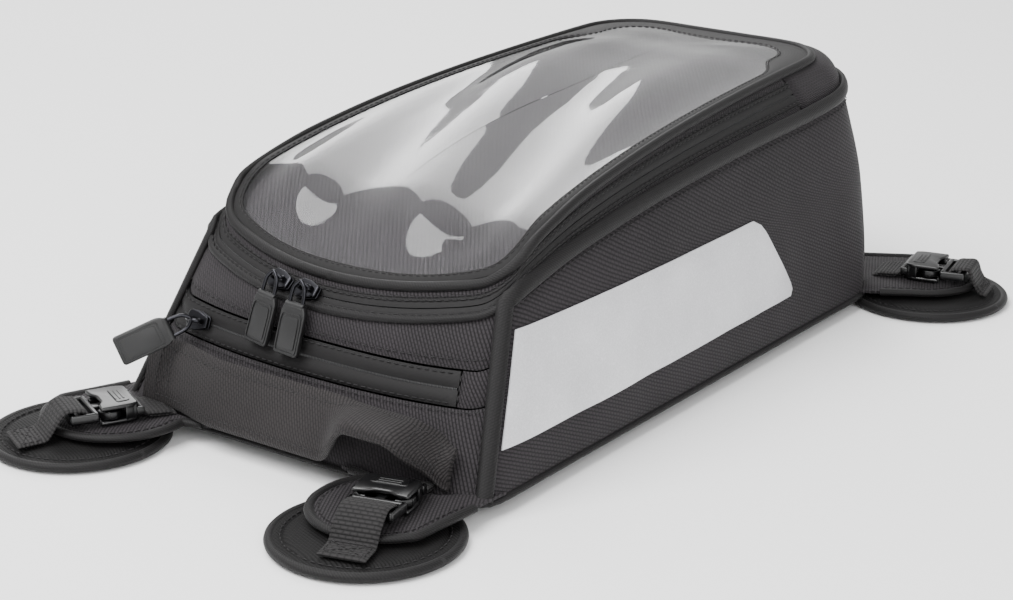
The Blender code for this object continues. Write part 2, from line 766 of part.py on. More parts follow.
def flap_outline(key, centre, radius):
    """A flap's plan: its root follows the bag's bottom edge, its tip is round."""
    first, last = FLAP_ROOTS[key]
    root = ring_span(SHELL[0], first, last, 1.0)
    middle = Vector((centre[0], centre[1], 0.0))
    a = root[-1] - middle
    b = root[0] - middle
    start = math.atan2(a.y, a.x)
    end = math.atan2(b.y, b.x)
    tip = []
    out = middle - root[6]
    heading = math.atan2(out.y, out.x)
    for i in range(11):
        angle = heading + math.radians(lerp(95.0, -95.0, i / 10.0))
        tip.append(middle + Vector((math.cos(angle), math.sin(angle), 0.0)) * radius)
    if (tip[0] - root[-1]).length > (tip[-1] - root[-1]).length:
        tip.reverse()
    return root + tip


def turned(name, profile, centre, mat, steps=28):
    """A turned solid from a profile that runs down its outer side, closed on the axis."""
    mesh = bpy.data.meshes.new(name)
    verts = [(r * MM, 0.0, z * MM) for r, z in profile]
    edges = [(i, i + 1) for i in range(len(verts) - 1)]
    mesh.from_pydata(verts, edges, [])
    obj = bpy.data.objects.new(name, mesh)
    obj.location = metres((centre[0], centre[1], 0.0))
    link(obj, mat)
    screw = obj.modifiers.new("turn", "SCREW")
    screw.steps = steps
    screw.render_steps = steps
    screw.use_merge_vertices = True
    screw.merge_threshold = 0.00005
    return obj


DISC_PROFILE = [(0.0, DISC_TOP), (14.0, DISC_TOP - 0.15), (26.0, DISC_TOP - 0.8),
                (DISC_R - 1.2, DISC_EDGE), (DISC_R, DISC_EDGE - 1.2), (DISC_R, 0.9),
                (DISC_R - 0.9, 0.0), (0.0, 0.0)]


def disc_top(r):
    """Height of a disc's top at a distance from its centre."""
    for (r0, z0), (r1, z1) in zip(DISC_PROFILE, DISC_PROFILE[1:]):
        if r0 <= abs(r) <= r1:
            return lerp(z0, z1, (abs(r) - r0) / (r1 - r0))
    return DISC_EDGE


def outline_solid(name, outline, z0, z1, mat, frame, bevel=0.0):
    """An extruded outline in a local frame, by a filled 2D curve."""
    curve = bpy.data.curves.new(name, "CURVE")
    curve.dimensions = "2D"
    curve.fill_mode = "BOTH"
    curve.extrude = 0.5 * (z1 - z0) * MM
    for loop in outline:
        spline = curve.splines.new("POLY")
        spline.points.add(len(loop) - 1)
        for point, p in zip(spline.points, loop):
            point.co = (p[0] * MM, p[1] * MM, 0.0, 1.0)
        spline.use_cyclic_u = True
    guide = bpy.data.objects.new(name, curve)
    guide.matrix_world = frame @ Matrix.Translation((0.0, 0.0, 0.5 * (z0 + z1) * MM))
    COLLECTION.objects.link(guide)
    return curve_to_mesh(guide, name, mat, bevel)


def band(name, path, width, thickness, mat, frame):
    """A flat strap along a path of (s, z) points in a corner unit's frame."""
    top = []
    low = []
    for i, (s, z) in enumerate(path):
        a = path[max(i - 1, 0)]
        b = path[min(i + 1, len(path) - 1)]
        run = Vector((b[0] - a[0], b[1] - a[1])).normalized()
        up = Vector((-run.y, run.x)) * 0.5 * thickness
        top.append((s + up.x, z + up.y))
        low.append((s - up.x, z - up.y))
    mesh = bpy.data.meshes.new(name)
    bm = bmesh.new()
    loop = top + low[::-1]
    left = [bm.verts.new((s * MM, -0.5 * width * MM, z * MM)) for s, z in loop]
    right = [bm.verts.new((s * MM, 0.5 * width * MM, z * MM)) for s, z in loop]
    count = len(path)
    for i in range(len(loop)):
        j = (i + 1) % len(loop)
        bm.faces.new((left[i], left[j], right[j], right[i]))
    for side in (left, right):
        for i in range(count - 1):
            k = len(loop) - 1 - i
            bm.faces.new((side[i], side[i + 1], side[k - 1], side[k]))
    bmesh.ops.recalc_face_normals(bm, faces=bm.faces)
    bm.to_mesh(mesh)
    bm.free()
    obj = bpy.data.objects.new(name, mesh)
    obj.matrix_world = frame
    return link(obj, mat)


MOUTH = 25.0            # distance of the female half's mouth along the unit
MALE_END = 36.0
BUCKLE_TOP = BUCKLE_Z + BUCKLE_H
INNER_H = 4.2
BUCKLE_MID = BUCKLE_Z + 0.5 * BUCKLE_H


def corner_unit(key, disc, tip, tip_radius, start, heading):
    """A flap, its strap and buckle, and the disc that hangs on the buckle."""
    turn = math.radians(heading)
    frame = Matrix.Translation(metres((start[0], start[1], 0.0)))
    frame = frame @ Matrix.Rotation(turn, 4, "Z")
    plate("flap_" + key, flap_outline(key, tip, tip_radius), FLAP_LOW, FLAP_T, FABRIC)
    flap_top = FLAP_LOW + FLAP_T
    band("flap_strap_" + key, [(4.0, flap_top + 1.15), (6.0, flap_top + 1.35),
                               (8.2, BUCKLE_MID - 0.7), (9.5, BUCKLE_MID)],
         STRAP_W - 1.0, STRAP_T, WEBBING, frame)
    half = 0.5 * BUCKLE_W
    shell = rounded_box("buckle_female_" + key, (15.0, BUCKLE_W, BUCKLE_H),
                        (MOUTH - 7.5, 0.0, BUCKLE_MID), 1.1, PLASTIC, frame)
    cavity = rounded_box("cavity", (14.0, BUCKLE_W - 5.0, INNER_H),
                         (MOUTH - 5.5, 0.0, BUCKLE_MID), 0.2, PLASTIC, frame)
    cut(shell, cavity)
    window = rounded_box("window", (10.0, BUCKLE_W + 4.0, INNER_H - 0.5),
                         (MOUTH - 4.4, 0.0, BUCKLE_MID), 0.2, PLASTIC, frame)
    cut(shell, window)
    base = [(MOUTH + GAP, -half), (MALE_END, -half + 0.8), (MALE_END, half - 0.8),
            (MOUTH + GAP, half), (MOUTH + GAP, 2.2), (MOUTH - 11.0, 1.5),
            (MOUTH - 11.0, -1.5), (MOUTH + GAP, -2.2)]
    slot = [(MOUTH + 5.6, -8.9), (MOUTH + 5.6, 8.9), (MOUTH + 8.6, 8.9), (MOUTH + 8.6, -8.9)]
    outline_solid("buckle_male_" + key, [base, slot], BUCKLE_MID - 1.8, BUCKLE_MID + 1.8,
                  PLASTIC, frame)
    for side, letter in ((1.0, "a"), (-1.0, "b")):
        arm = [(MOUTH + GAP - 0.7, 5.2), (MOUTH - 6.0, 6.6), (MOUTH - 8.6, 5.6),
               (MOUTH - 8.6, 7.4), (MOUTH - 7.4, 9.6), (MOUTH - 3.4, 10.3),
               (MOUTH - 1.2, 8.4), (MOUTH + GAP - 0.7, 7.2)]
        loop = [(s, side * w) for s, w in arm]
        if side > 0.0:
            loop = loop[::-1]
        piece = outline_solid("buckle_arm_%s_%s" % (letter, key), [loop],
                              BUCKLE_MID - 1.5, BUCKLE_MID + 1.5, PLASTIC, frame)
        pivot = frame @ Vector(((MOUTH - 0.35) * MM, side * 6.2 * MM, BUCKLE_MID * MM))
        shift = piece.matrix_world.inverted() @ pivot
        piece.data.transform(Matrix.Translation(-shift))
        piece.matrix_world = piece.matrix_world @ Matrix.Translation(shift)
    reach = (Vector((disc[0], disc[1])) - Vector(start)).length
    edge = max(tip_reach(start, turn, tip, tip_radius), MALE_END + 2.0)
    last = min(reach + 26.0, reach + DISC_R - 7.0)
    top_z = FLAP_LOW + FLAP_T + 1.3
    route = [(MALE_END - 3.6, BUCKLE_MID + 2.8), (MALE_END + 1.4, BUCKLE_MID + 2.8),
             (edge + 0.4, top_z + 0.6), (edge + 3.6, disc_top(edge + 3.6 - reach) + 1.9),
             (edge + 6.4, disc_top(edge + 6.4 - reach) + 1.3), (last, disc_top(last - reach) + 1.3)]
    band("disc_strap_" + key, route, STRAP_W - 2.6, STRAP_T, WEBBING, frame)
    turned("disc_" + key, DISC_PROFILE, disc, FABRIC)


def tip_reach(start, turn, centre, radius):
    """How far along a unit the round tip of its flap reaches."""
    d = Vector((math.cos(turn), math.sin(turn)))
    w = Vector((centre[0] - start[0], centre[1] - start[1]))
    along = w.dot(d)
    side = w.dot(Vector((-d.y, d.x)))
    best = 0.0
    for lane in (-9.0, -4.5, 0.0, 4.5, 9.0):
        off = side - lane
        best = max(best, along + math.sqrt(max(radius * radius - off * off, 0.0)))
    return best


for unit, values in UNITS.items():
    corner_unit(unit, *values)
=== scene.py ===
"""Looks for the tank bag: fabric shell, window lid, zips, webbing, buckles and padded discs.

Shapes are worked out in millimetres, with y counted from the upper seam's nearest point to
the rider, and are moved and scaled to metres when a mesh is made. Every piece rides on a body
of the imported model. A look is a material with the name of its slot, or with None.
"""

import math
from collections import namedtuple

import bmesh
import bpy
import numpy as np
from mathutils import Matrix, Vector, noise


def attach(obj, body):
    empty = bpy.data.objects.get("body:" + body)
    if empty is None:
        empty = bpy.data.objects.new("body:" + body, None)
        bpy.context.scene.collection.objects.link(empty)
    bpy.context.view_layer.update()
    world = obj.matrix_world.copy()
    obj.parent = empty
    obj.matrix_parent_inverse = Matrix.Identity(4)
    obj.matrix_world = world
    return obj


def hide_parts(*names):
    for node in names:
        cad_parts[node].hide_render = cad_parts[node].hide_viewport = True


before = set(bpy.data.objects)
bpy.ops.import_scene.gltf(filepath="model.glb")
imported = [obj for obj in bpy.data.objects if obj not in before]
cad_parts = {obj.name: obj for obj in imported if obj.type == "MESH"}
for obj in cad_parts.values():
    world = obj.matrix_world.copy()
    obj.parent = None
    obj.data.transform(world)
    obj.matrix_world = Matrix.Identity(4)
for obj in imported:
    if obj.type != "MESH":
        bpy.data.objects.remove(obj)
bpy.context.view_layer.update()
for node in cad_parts.values():
    node.data.materials.clear()

MM = 0.001
SHIFT = -119.25                 # moves y to the shared frame, which starts at the bag's middle
TILT = math.radians(29.0)       # slope of the lid's near end
ARC_R = 146.0                   # radius of the main zip's arc round the rider's end
ZIP_Y, ZIP_Z = 4.6, 59.7        # the main zip's nearest point to the rider
HALF_BAND, HALF_LIFT = 6.25, 1.8    # half of the step from the seam to the rim
NARROW, LEAST_AREA = 0.01, 0.301    # least width of a sheet's size, and part of it that is cloth
UP = (0, 0, 1)
FLIP = np.array((-1.0, 1.0, 1.0))

# The middle of a corner's disc; the middle and radius of its flap's round tip; where its buckle
# starts and the way it points, in degrees; and the part of the bag's edge that the flap hangs on.
Corner = namedtuple("Corner", "disc tip radius start heading span")
CORNERS = {
    "near_right": Corner((63.5, -50.0), (61.5, -37.0), 26.0, (58.0, -20.6), -74.0, (1.5, 7.0)),
    "near_left": Corner((-79.0, -45.0), (-74.0, -30.0), 27.0, (-62.0, -20.8), -117.0, (-7.4, -2.0)),
    "far_right": Corner((93.0, 288.5), (86.0, 294.0), 25.0, (73.5, 287.5), 14.0, (15.4, 20.2)),
    "far_left": Corner((-93.0, 288.5), (-86.0, 294.0), 25.0, (-73.5, 287.5), 166.0, None),
}


def lerp(a, b, t):
    return a + (b - a) * t


def smooth(t):
    t = np.clip(t, 0.0, 1.0)
    return t * t * (3.0 - 2.0 * t)


def bell(t):
    return np.exp(-t ** 2)


def bend(a, b, c, t):
    """A point of the smooth bend from a to c that b pulls towards itself."""
    return (1 - t) ** 2 * a + 2 * t * (1 - t) * b + t * t * c


# ---------------- materials
class Nodes:
    """Short ways to add and join a material's nodes."""

    def __init__(self, name):
        self.mat = bpy.data.materials.new(name)
        self.mat.use_nodes = True
        self.tree = self.mat.node_tree
        self.shader = self.tree.nodes["Principled BSDF"]
        self.place = self.add("ShaderNodeTexCoord").outputs["Object"]

    def feed(self, socket, value):
        if hasattr(value, "is_output"):
            self.tree.links.new(value, socket)
        elif value is not None:
            socket.default_value = value

    def add(self, kind, feeds=None, **values):
        made = self.tree.nodes.new(kind)
        for key, value in values.items():
            setattr(made, key, value)
        for key, value in (feeds or {}).items():
            self.feed(made.inputs[key], value)
        return made

    def math(self, operation, a, b=None):
        return self.add("ShaderNodeMath", {0: a, 1: b}, operation=operation).outputs[0]

    def plus(self, a, b):
        return self.math("ADD", a, b)

    def minus(self, a, b):
        return self.math("SUBTRACT", a, b)

    def times(self, a, b):
        return self.math("MULTIPLY", a, b)

    def noise(self, scale, detail=3.0):
        feeds = {"Vector": self.place, "Scale": scale, "Detail": detail}
        return self.add("ShaderNodeTexNoise", feeds).outputs["Fac"]

    def ramp(self, fac, stops):
        made = self.add("ShaderNodeValToRGB", {"Fac": fac})
        stop = made.color_ramp.elements
        stop[0].position, stop[1].position = stops[0][0], stops[-1][0]
        stop[0].color, stop[1].color = (*stops[0][1], 1.0), (*stops[-1][1], 1.0)
        for place, colour in stops[1:-1]:
            stop.new(place).color = (*colour, 1.0)
        return made.outputs["Color"]

    def bump(self, height, distance, strength=1.0, after=None):
        feeds = {"Height": height, "Distance": distance, "Strength": strength, "Normal": after}
        return self.add("ShaderNodeBump", feeds).outputs["Normal"]

    def set(self, **values):
        for key, value in values.items():
            name = key.replace("_", " ").title().replace("Ior", "IOR")
            self.feed(self.shader.inputs[name], value)


def cells(n, across, along, pitch, angle):
    """Height of a woven surface: raised ribs, each cut into yarn floats along its length."""
    c, s = math.cos(math.radians(angle)), math.sin(math.radians(angle))
    turned = n.plus(n.times(across, c), n.times(along, s))
    ribs = n.minus(n.times(along, c), n.times(across, s))
    x = n.math("DIVIDE", turned, pitch[0] * MM)
    y = n.math("DIVIDE", ribs, pitch[1] * MM)
    x = n.plus(x, n.times(n.math("FLOOR", y), 0.5))

    def dome(q, sharpness):
        swing = n.math("ABSOLUTE", n.minus(n.times(n.math("FRACT", q), 2.0), 1.0))
        return n.minus(1.0, n.math("POWER", swing, sharpness))

    return n.times(n.plus(n.times(dome(x, 4.0), 0.55), 0.45), dome(y, 2.0))


def woven(name, slot, dark, light, pitch, depth=0.22, rough=(0.62, 0.8), sheen=0.035,
          angle=0.0, fuzzy=0.28):
    """A woven fabric whose yarns follow the piece's own flat layout, kept in its UV map; its colour holds
    painted shade, dark in the hollows between yarns and light on the yarn tops.
    """
    n = Nodes(name)
    flat = n.add("ShaderNodeUVMap", uv_map="flat").outputs["UV"]
    split = n.add("ShaderNodeSeparateXYZ", {0: flat})
    wobble = n.times(n.minus(n.noise(60.0), 0.5), 0.0006)
    height = cells(n, n.plus(split.outputs[0], wobble), n.plus(split.outputs[1], wobble), pitch, angle)
    cloudy, fuzz = n.noise(22.0, 5.0), n.noise(2600.0, 2.0)
    # painted shade: the weave's height darkens the hollows between yarns and lightens the yarn tops; fuzz
    # and cloudy add random tone on top
    tone = n.plus(n.times(height, 1.0 - fuzzy), n.times(fuzz, fuzzy))
    tone = n.plus(tone, n.times(n.minus(cloudy, 0.5), 0.5))
    middle = tuple(0.5 * (a + b) for a, b in zip(dark, light))
    yarns = n.bump(height, depth * MM, 0.9)
    n.set(base_color=n.ramp(tone, [(0.15, dark), (0.6, middle), (1.0, light)]),
          normal=n.bump(fuzz, 0.2 * fuzzy * MM, 0.5, yarns),
          roughness=n.plus(n.times(cloudy, rough[1] - rough[0]), rough[0]),
          sheen_weight=sheen, sheen_roughness=0.45, specular_ior_level=0.2)
    return n.mat, slot


def moulded(name, slot, colour, rough, grain, depth, metallic=0.0, coat=0.0):
    """Moulded or plated surface with a fine grain and soft patches of wear."""
    n = Nodes(name)
    fine, broad = n.noise(grain), n.noise(55.0, 4.0)
    lighter = tuple(min(1.0, c * 1.6 + 0.002) for c in colour)
    n.set(base_color=n.ramp(broad, [(0.3, colour), (0.8, lighter)]),
          roughness=n.plus(n.times(broad, 0.1), rough), normal=n.bump(fine, depth * MM, 0.6),
          metallic=metallic, coat_weight=coat, coat_roughness=0.08)
    return n.mat, slot


def silver_look():
    """Silver-grey reflective sheet: a faint honeycomb of beads under a smooth face."""
    n = Nodes("reflective_silver")
    beads = n.add("ShaderNodeTexVoronoi", {"Scale": 1500.0, "Vector": n.place}).outputs["Distance"]
    tone = n.plus(n.times(beads, 0.35), n.times(n.noise(35.0, 4.0), 0.65))
    n.set(base_color=n.ramp(tone, [(0.2, (0.46, 0.46, 0.48)), (0.75, (0.66, 0.66, 0.68))]),
          normal=n.bump(beads, 0.04 * MM, 0.5), roughness=0.42, metallic=0.25)
    return n.mat, "reflective_silver"


def film_look():
    """Clear glossy film with faint haze. Light passes through it unbent on its way to what is below."""
    n = Nodes("clear_film")
    n.set(roughness=n.plus(n.times(n.noise(18.0, 4.0), 0.05), 0.01),
          normal=n.bump(n.noise(28.0, 2.0), 0.5 * MM, 0.35),
          base_color=(0.97, 0.97, 0.98, 1.0), transmission_weight=1.0, ior=1.30)
    mix = n.add("ShaderNodeMixShader", {0: n.add("ShaderNodeLightPath").outputs["Is Shadow Ray"],
                                        1: n.shader.outputs[0],
                                        2: n.add("ShaderNodeBsdfTransparent").outputs[0]})
    n.feed(n.tree.nodes["Material Output"].inputs["Surface"], mix.outputs[0])
    return n.mat, "clear_film"


# Each woven look runs from its first colour, painted shade in the hollows between yarns, to its second, on
# the yarn tops; DARK and LIGHT are these for the main nylon.
DARK, LIGHT = (0.0013, 0.0011, 0.0013), (0.0290, 0.0250, 0.0282)
SATIN = (0.5, 0.66)
RIBBED = woven("ribbed_nylon", "ribbed_nylon", DARK, LIGHT, (2.2, 1.35), angle=-24.0, depth=0.24)
SLANTED = woven("ribbed_nylon_slanted", "ribbed_nylon", DARK, LIGHT, (2.0, 1.25), angle=-62.0, depth=0.24)
PLAIN = woven("plain_nylon", "plain_nylon", DARK, (0.0150, 0.0140, 0.0148), (0.8, 0.6), depth=0.1)
FLOOR_CLOTH = woven("pocket_floor", "plain_nylon", (0.0022, 0.0020, 0.0022), (0.0200, 0.0175, 0.0200),
                    (6.0, 1.5), angle=-53.0, depth=0.06, fuzzy=0.02)
COVER = woven("disc_cover", "disc_cover", (0.0005, 0.0005, 0.0005), (0.0072, 0.0066, 0.0069),
              (1.8, 1.2), angle=-20.0, depth=0.2, sheen=0.0)
WEB = woven("webbing", "webbing", (0.0008, 0.0007, 0.0008), (0.0210, 0.0195, 0.0200), (2.6, 1.5), depth=0.3)
HANDLE_WEB = woven("handle_webbing", "webbing", DARK, (0.0270, 0.0236, 0.0240), (2.0, 1.15),
                   angle=-66.0, depth=0.2)
TAPE = woven("zip_tape", "zip_tape", (0.0022, 0.0020, 0.0021), (0.0112, 0.0104, 0.0108), (0.8, 0.5),
             depth=0.05, rough=SATIN)
BINDING = woven("binding", "piping", (0.0012, 0.0011, 0.0012), (0.0108, 0.0099, 0.0103), (1.6, 0.9),
                angle=-55.0, depth=0.08, rough=SATIN)
THREAD = woven("thread", None, (0.004, 0.004, 0.0045), (0.034, 0.032, 0.033), (0.5, 0.5), depth=0.05)
PLASTIC = moulded("buckle_plastic", "buckle_plastic", (0.0012, 0.0012, 0.0014), 0.24, 1400.0, 0.012,
                  coat=0.04)
RUBBER = moulded("pull_rubber", "pull_rubber", (0.0026, 0.0026, 0.0028), 0.42, 2600.0, 0.02)
METAL = moulded("dark_metal", "dark_metal", (0.022, 0.022, 0.025), 0.26, 900.0, 0.02, metallic=1.0)
COIL = moulded("zip_coil", "zip_tape", (0.004, 0.004, 0.0045), 0.34, 2000.0, 0.01)
PAD = moulded("base_rubber", "base_rubber", (0.012, 0.012, 0.012), 0.6, 700.0, 0.25)
SILVER = silver_look()
FILM = film_look()


# ---------------- mesh helpers
def edit(mesh, change):
    bm = bmesh.new()
    bm.from_mesh(mesh)
    change(bm)
    bm.to_mesh(mesh)
    bm.free()


def piece(name, verts, faces, look, body, uv=None, node=None, sharp=38.0):
    """A mesh object from millimetre points, riding on a body."""
    points = (np.array(verts, float).reshape(-1, 3) + np.array((0.0, SHIFT, 0.0))) * MM
    mesh = bpy.data.meshes.new(name)
    mesh.from_pydata([tuple(p) for p in points], [], [tuple(int(i) for i in f) for f in faces])
    mesh.validate()
    if uv is not None:
        layer = mesh.uv_layers.new(name="flat")
        flat = np.array(uv, float).reshape(-1, 2) * MM
        index = np.zeros(len(mesh.loops), np.int32)
        mesh.loops.foreach_get("vertex_index", index)
        layer.data.foreach_set("uv", flat[index].astype(np.float32).ravel())
    obj = bpy.data.objects.new(name, mesh)
    bpy.context.scene.collection.objects.link(obj)
    mesh.materials.append(look[0])
    edit(mesh, lambda bm: bmesh.ops.recalc_face_normals(bm, faces=bm.faces))
    mesh.shade_smooth()
    mesh.set_sharp_from_angle(angle=math.radians(sharp))
    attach(obj, body)
    if node:
        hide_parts(node)
    return obj


def grid_faces(rows, cols, ring=False, first=0, flip=False):
    """Faces of a grid of points stored row by row."""
    made = []
    for r in range(rows - 1):
        for c in range(cols if ring else cols - 1):
            d = (c + 1) % cols
            a = (r * cols + c, r * cols + d, (r + 1) * cols + d, (r + 1) * cols + c)
            made.append(tuple(first + i for i in (a[::-1] if flip else a)))
    return made


def slab(name, outer, inner, look, body, uv, ring=False, node=None):
    """A closed sheet between two matching grids of points, shape (rows, columns, 3)."""
    rows, cols = outer.shape[:2]
    count = rows * cols
    faces = grid_faces(rows, cols, ring) + grid_faces(rows, cols, ring, count, True)
    for c in range(cols if ring else cols - 1):
        d = (c + 1) % cols
        faces.append((c, count + c, count + d, d))
        a, b = (rows - 1) * cols + c, (rows - 1) * cols + d
        faces.append((a, b, count + b, count + a))
    for r in range(0 if ring else rows - 1):
        a, b = r * cols, (r + 1) * cols
        faces.append((a, b, count + b, count + a))
        a, b = a + cols - 1, b + cols - 1
        faces.append((a, count + a, count + b, b))
    verts = np.concatenate([outer.reshape(-1, 3), inner.reshape(-1, 3)])
    return piece(name, verts, faces, look, body, np.tile(uv.reshape(-1, 2), (2, 1)), node)


def unit(a):
    a = np.asarray(a, float)
    return a / np.maximum(np.linalg.norm(a, axis=-1, keepdims=True), 1e-9)


def arc_length(points, axis=0):
    """Distance along a line of points, or along one way of a grid."""
    steps = np.linalg.norm(np.diff(points, axis=axis), axis=-1)
    pad = [(0, 0)] * steps.ndim
    pad[axis] = (1, 0)
    return np.pad(np.cumsum(steps, axis=axis), pad)


def respaced(points, old, new):
    """Points or vectors known at old places, read off at new ones."""
    return np.stack([np.interp(new, old, points[:, k]) for k in range(3)], axis=1)


def resample(points, step, closed=False):
    """Points at an even spacing along a smooth curve through the given points."""
    p = np.array([tuple(q) for q in points], float)
    if closed:
        p = np.concatenate([p[-1:], p, p[:2]])
    else:
        p = np.concatenate([2 * p[:1] - p[1:2], p, 2 * p[-1:] - p[-2:-1]])
    t = np.linspace(0.0, 1.0, 9)[:-1, None]
    fine = [0.5 * (2 * b + (c - a) * t + (2 * a - 5 * b + 4 * c - d) * t * t
                   + (3 * b - a - 3 * c + d) * t ** 3)
            for a, b, c, d in zip(p[:-3], p[1:-2], p[2:-1], p[3:])]
    fine = np.concatenate(fine + [p[-2:-1]])
    run = arc_length(fine)
    count = max(2, int(round(run[-1] / step)))
    made = respaced(fine, run, np.linspace(0.0, run[-1], count + 1))
    return made[:-1] if closed else made


def frames_along(points, up, closed=False):
    """Unit tangent, side and up vectors along a line of points. Up is near the given vectors."""
    p = np.asarray(points, float)
    tangent = unit(np.roll(p, -1, 0) - np.roll(p, 1, 0) if closed else np.gradient(p, axis=0))
    side = unit(np.cross(tangent, np.broadcast_to(np.asarray(up, float), p.shape)))
    return tangent, side, np.cross(side, tangent)


def tube(name, points, radius, look, body, up=UP, closed=False, sides=10, squash=1.0, node=None):
    """A round or flattened tube along points."""
    p = np.asarray(points, float)
    _, side, top = frames_along(p, up, closed)
    angles = np.arange(sides) * 2.0 * math.pi / sides
    ring = (side[:, None] * np.cos(angles)[None, :, None]
            + top[:, None] * np.sin(angles)[None, :, None] * squash)
    uv = np.stack(np.broadcast_arrays(arc_length(p)[:, None], (angles * radius)[None]), -1)
    last = (len(p) - 1) * sides
    faces = grid_faces(len(p), sides, True)
    if closed:
        faces += [(last + i, last + (i + 1) % sides, (i + 1) % sides, i) for i in range(sides)]
    else:
        faces += [tuple(range(sides))[::-1], tuple(range(last, last + sides))]
    return piece(name, p[:, None] + ring * radius, faces, look, body, uv, node, 60.0)


def beads(name, chains, sides, look, body):
    """Small closed beads. Each is a chain of rings, a ring being its centre, two arms and its UV."""
    verts, faces, uv = [], [], []
    for chain in chains:
        first = len(verts)
        for centre, across, up, place in chain:
            for k in range(sides):
                a = 2.0 * math.pi * k / sides
                verts.append(centre + across * math.cos(a) + up * math.sin(a))
                uv.append((place, k * 0.3))
        last = len(verts) - sides
        faces += grid_faces(len(chain), sides, True, first)
        faces += [tuple(range(first, first + sides))[::-1], tuple(range(last, last + sides))]
    return piece(name, verts, faces, look, body, uv, sharp=80.0)


def stitches(name, lines, body, pitch=3.1, length=2.2, radius=0.24, lift=0.12):
    """Rows of thread, each a short bead along its line. A line is (points, up vectors)."""
    profile = ((-0.5, 0.1), (-0.36, 0.85), (0.0, 1.0), (0.36, 0.85), (0.5, 0.1))
    chains = []
    for points, up in lines:
        p = resample(points, pitch)
        ups = np.broadcast_to(np.asarray(up, float), (len(points), 3))
        ups = unit(respaced(ups, np.linspace(0.0, 1.0, len(ups)), np.linspace(0.0, 1.0, len(p))))
        for here, ahead, tangent, side, top in zip(p[:-1], p[1:], *frames_along(p, ups)):
            centre = 0.5 * (here + ahead) + top * lift
            chains.append([(centre + tangent * s * length - top * 2.8 * s * s * radius,
                            side * radius * r, top * radius * r, s * length) for s, r in profile])
    return beads(name, chains, 5, THREAD, body)


# ---------------- the shell's surface
def arc_point(radius, lift, angle):
    """A point of the near end, on a circle about the main zip's tilted axis."""
    cy = ZIP_Y + ARC_R * math.cos(TILT)
    cz = ZIP_Z + ARC_R * math.sin(TILT)
    y = cy - radius * math.cos(angle) * math.cos(TILT) - lift * math.sin(TILT)
    z = cz - radius * math.cos(angle) * math.sin(TILT) + lift * math.cos(TILT)
    return np.array((radius * math.sin(angle), y, z))


def rim_height(y):
    """Height of the lid's rim at a place along the bag."""
    low = 64.3 + (y - 9.2) * math.tan(TILT)
    high = 88.0 + 19.6 * (1.0 - np.exp(-(y - 45.0) / 85.0)) * 1.07
    return lerp(low, high, smooth((y - 14.0) / 36.0))


def seam_height(y):
    """Height of the shell's upper seam at a place along the bag."""
    low = 55.1 + (y - 0.4) * math.tan(TILT)
    high = 73.5 + 20.0 * (1.0 - math.exp(-(y - 40.0) / 105.0)) + 4.0 * smooth((y - 225.0) / 55.0)
    return lerp(low, high, smooth((y - 10.0) / 34.0))


def half_ring(near, half_near, half_far, far_y, far_r, height, reach, side_start):
    """A ring's right half, from the near centre to the far centre."""
    points = list(near)
    a, b = points[-1][:2], np.array((half_near, side_start))
    c1 = a + unit(points[-1] - points[-2])[:2] * reach
    c2 = b - np.array((0.0, reach))
    plan = []
    for t in (0.33, 0.66, 1.0):
        s = 1.0 - t
        plan.append(s ** 3 * a + 3 * s * s * t * c1 + 3 * s * t * t * c2 + t ** 3 * b)
    end = far_y - far_r
    plan += [(lerp(half_near, half_far, i / 8.0), lerp(side_start, end, i / 8.0)) for i in range(1, 9)]
    for i in range(1, 5):
        angle = math.radians(22.5 * i)
        plan.append((half_far - far_r + far_r * math.cos(angle), end + far_r * math.sin(angle)))
    plan += [((half_far - far_r) * (1.0 - t), far_y) for t in (0.5, 1.0)]
    return points + [np.array((x, y, height(y))) for x, y in plan]


def arc_half(radius, lift, half_width):
    top = math.asin(half_width / radius)
    return [arc_point(radius, lift, top * i / 4.0) for i in range(5)]


def shell_rows():
    """The shell's outer surface: rows from the bottom edge to the seam, then to the lid's rim."""
    near = [np.array((17.5 * i, -19.0, 5.0)) for i in range(5)]
    base = half_ring(near, 86.0, 77.0, 283.0, 30.0, lambda y: 5.0, 8.0, -5.0)
    seam = half_ring(arc_half(ARC_R + HALF_BAND, -HALF_LIFT, 60.0), 70.5, 66.0, 280.0, 35.0,
                     seam_height, 6.5, 25.0)
    rim = half_ring(arc_half(ARC_R - HALF_BAND, HALF_LIFT, 58.5), 68.5, 55.0, 264.5, 25.0,
                    rim_height, 9.5, 39.0)
    rows = []
    for middle, corner in ((0.0, 0.0), (0.27, 0.25), (0.54, 0.50), (0.79, 0.70), (1.0, 1.0)):
        row = []
        for i, (low, high) in enumerate(zip(base, seam)):
            t = lerp(middle, corner, smooth(i / 5.5))
            p = lerp(low, high, t)
            if i > NEAR_SEAM:
                out = unit((p[0], 0.0 if i <= 15 else p[1] - 215.0, 0.0))
                p = p + out * 12.0 * t * (1.0 - t) * smooth((i - 6) / 3.0)
            row.append(p)
        rows.append(row)
    for rider, side in ((0.12, 0.28), (0.36, 0.50), (0.62, 0.72), (1.0, 1.0)):
        row = []
        for i, (low, high) in enumerate(zip(seam, rim)):
            t = lerp(rider, side, smooth((i - 4.0) / 5.0))
            p = lerp(low, high, t)
            far = smooth((i - 14) / 4.0)
            out = lerp(np.array((0.75, 0.0, 0.65)), np.array((0.0, 0.6, 0.8)), far)
            if i > NEAR_SEAM:
                p = p + unit(out) * 4.0 * t * (1.0 - t) * lerp(0.6, 4.5, far)
            row.append(p)
        rows.append(row)
    return np.array([row + [q * FLIP for q in row[-2:0:-1]] for row in rows])


def ghosted(rows):
    """The rows with one more at each end, so that a curve runs straight out past its ends."""
    return np.concatenate([2 * rows[:1] - rows[1:2], rows, 2 * rows[-1:] - rows[-2:-1]])


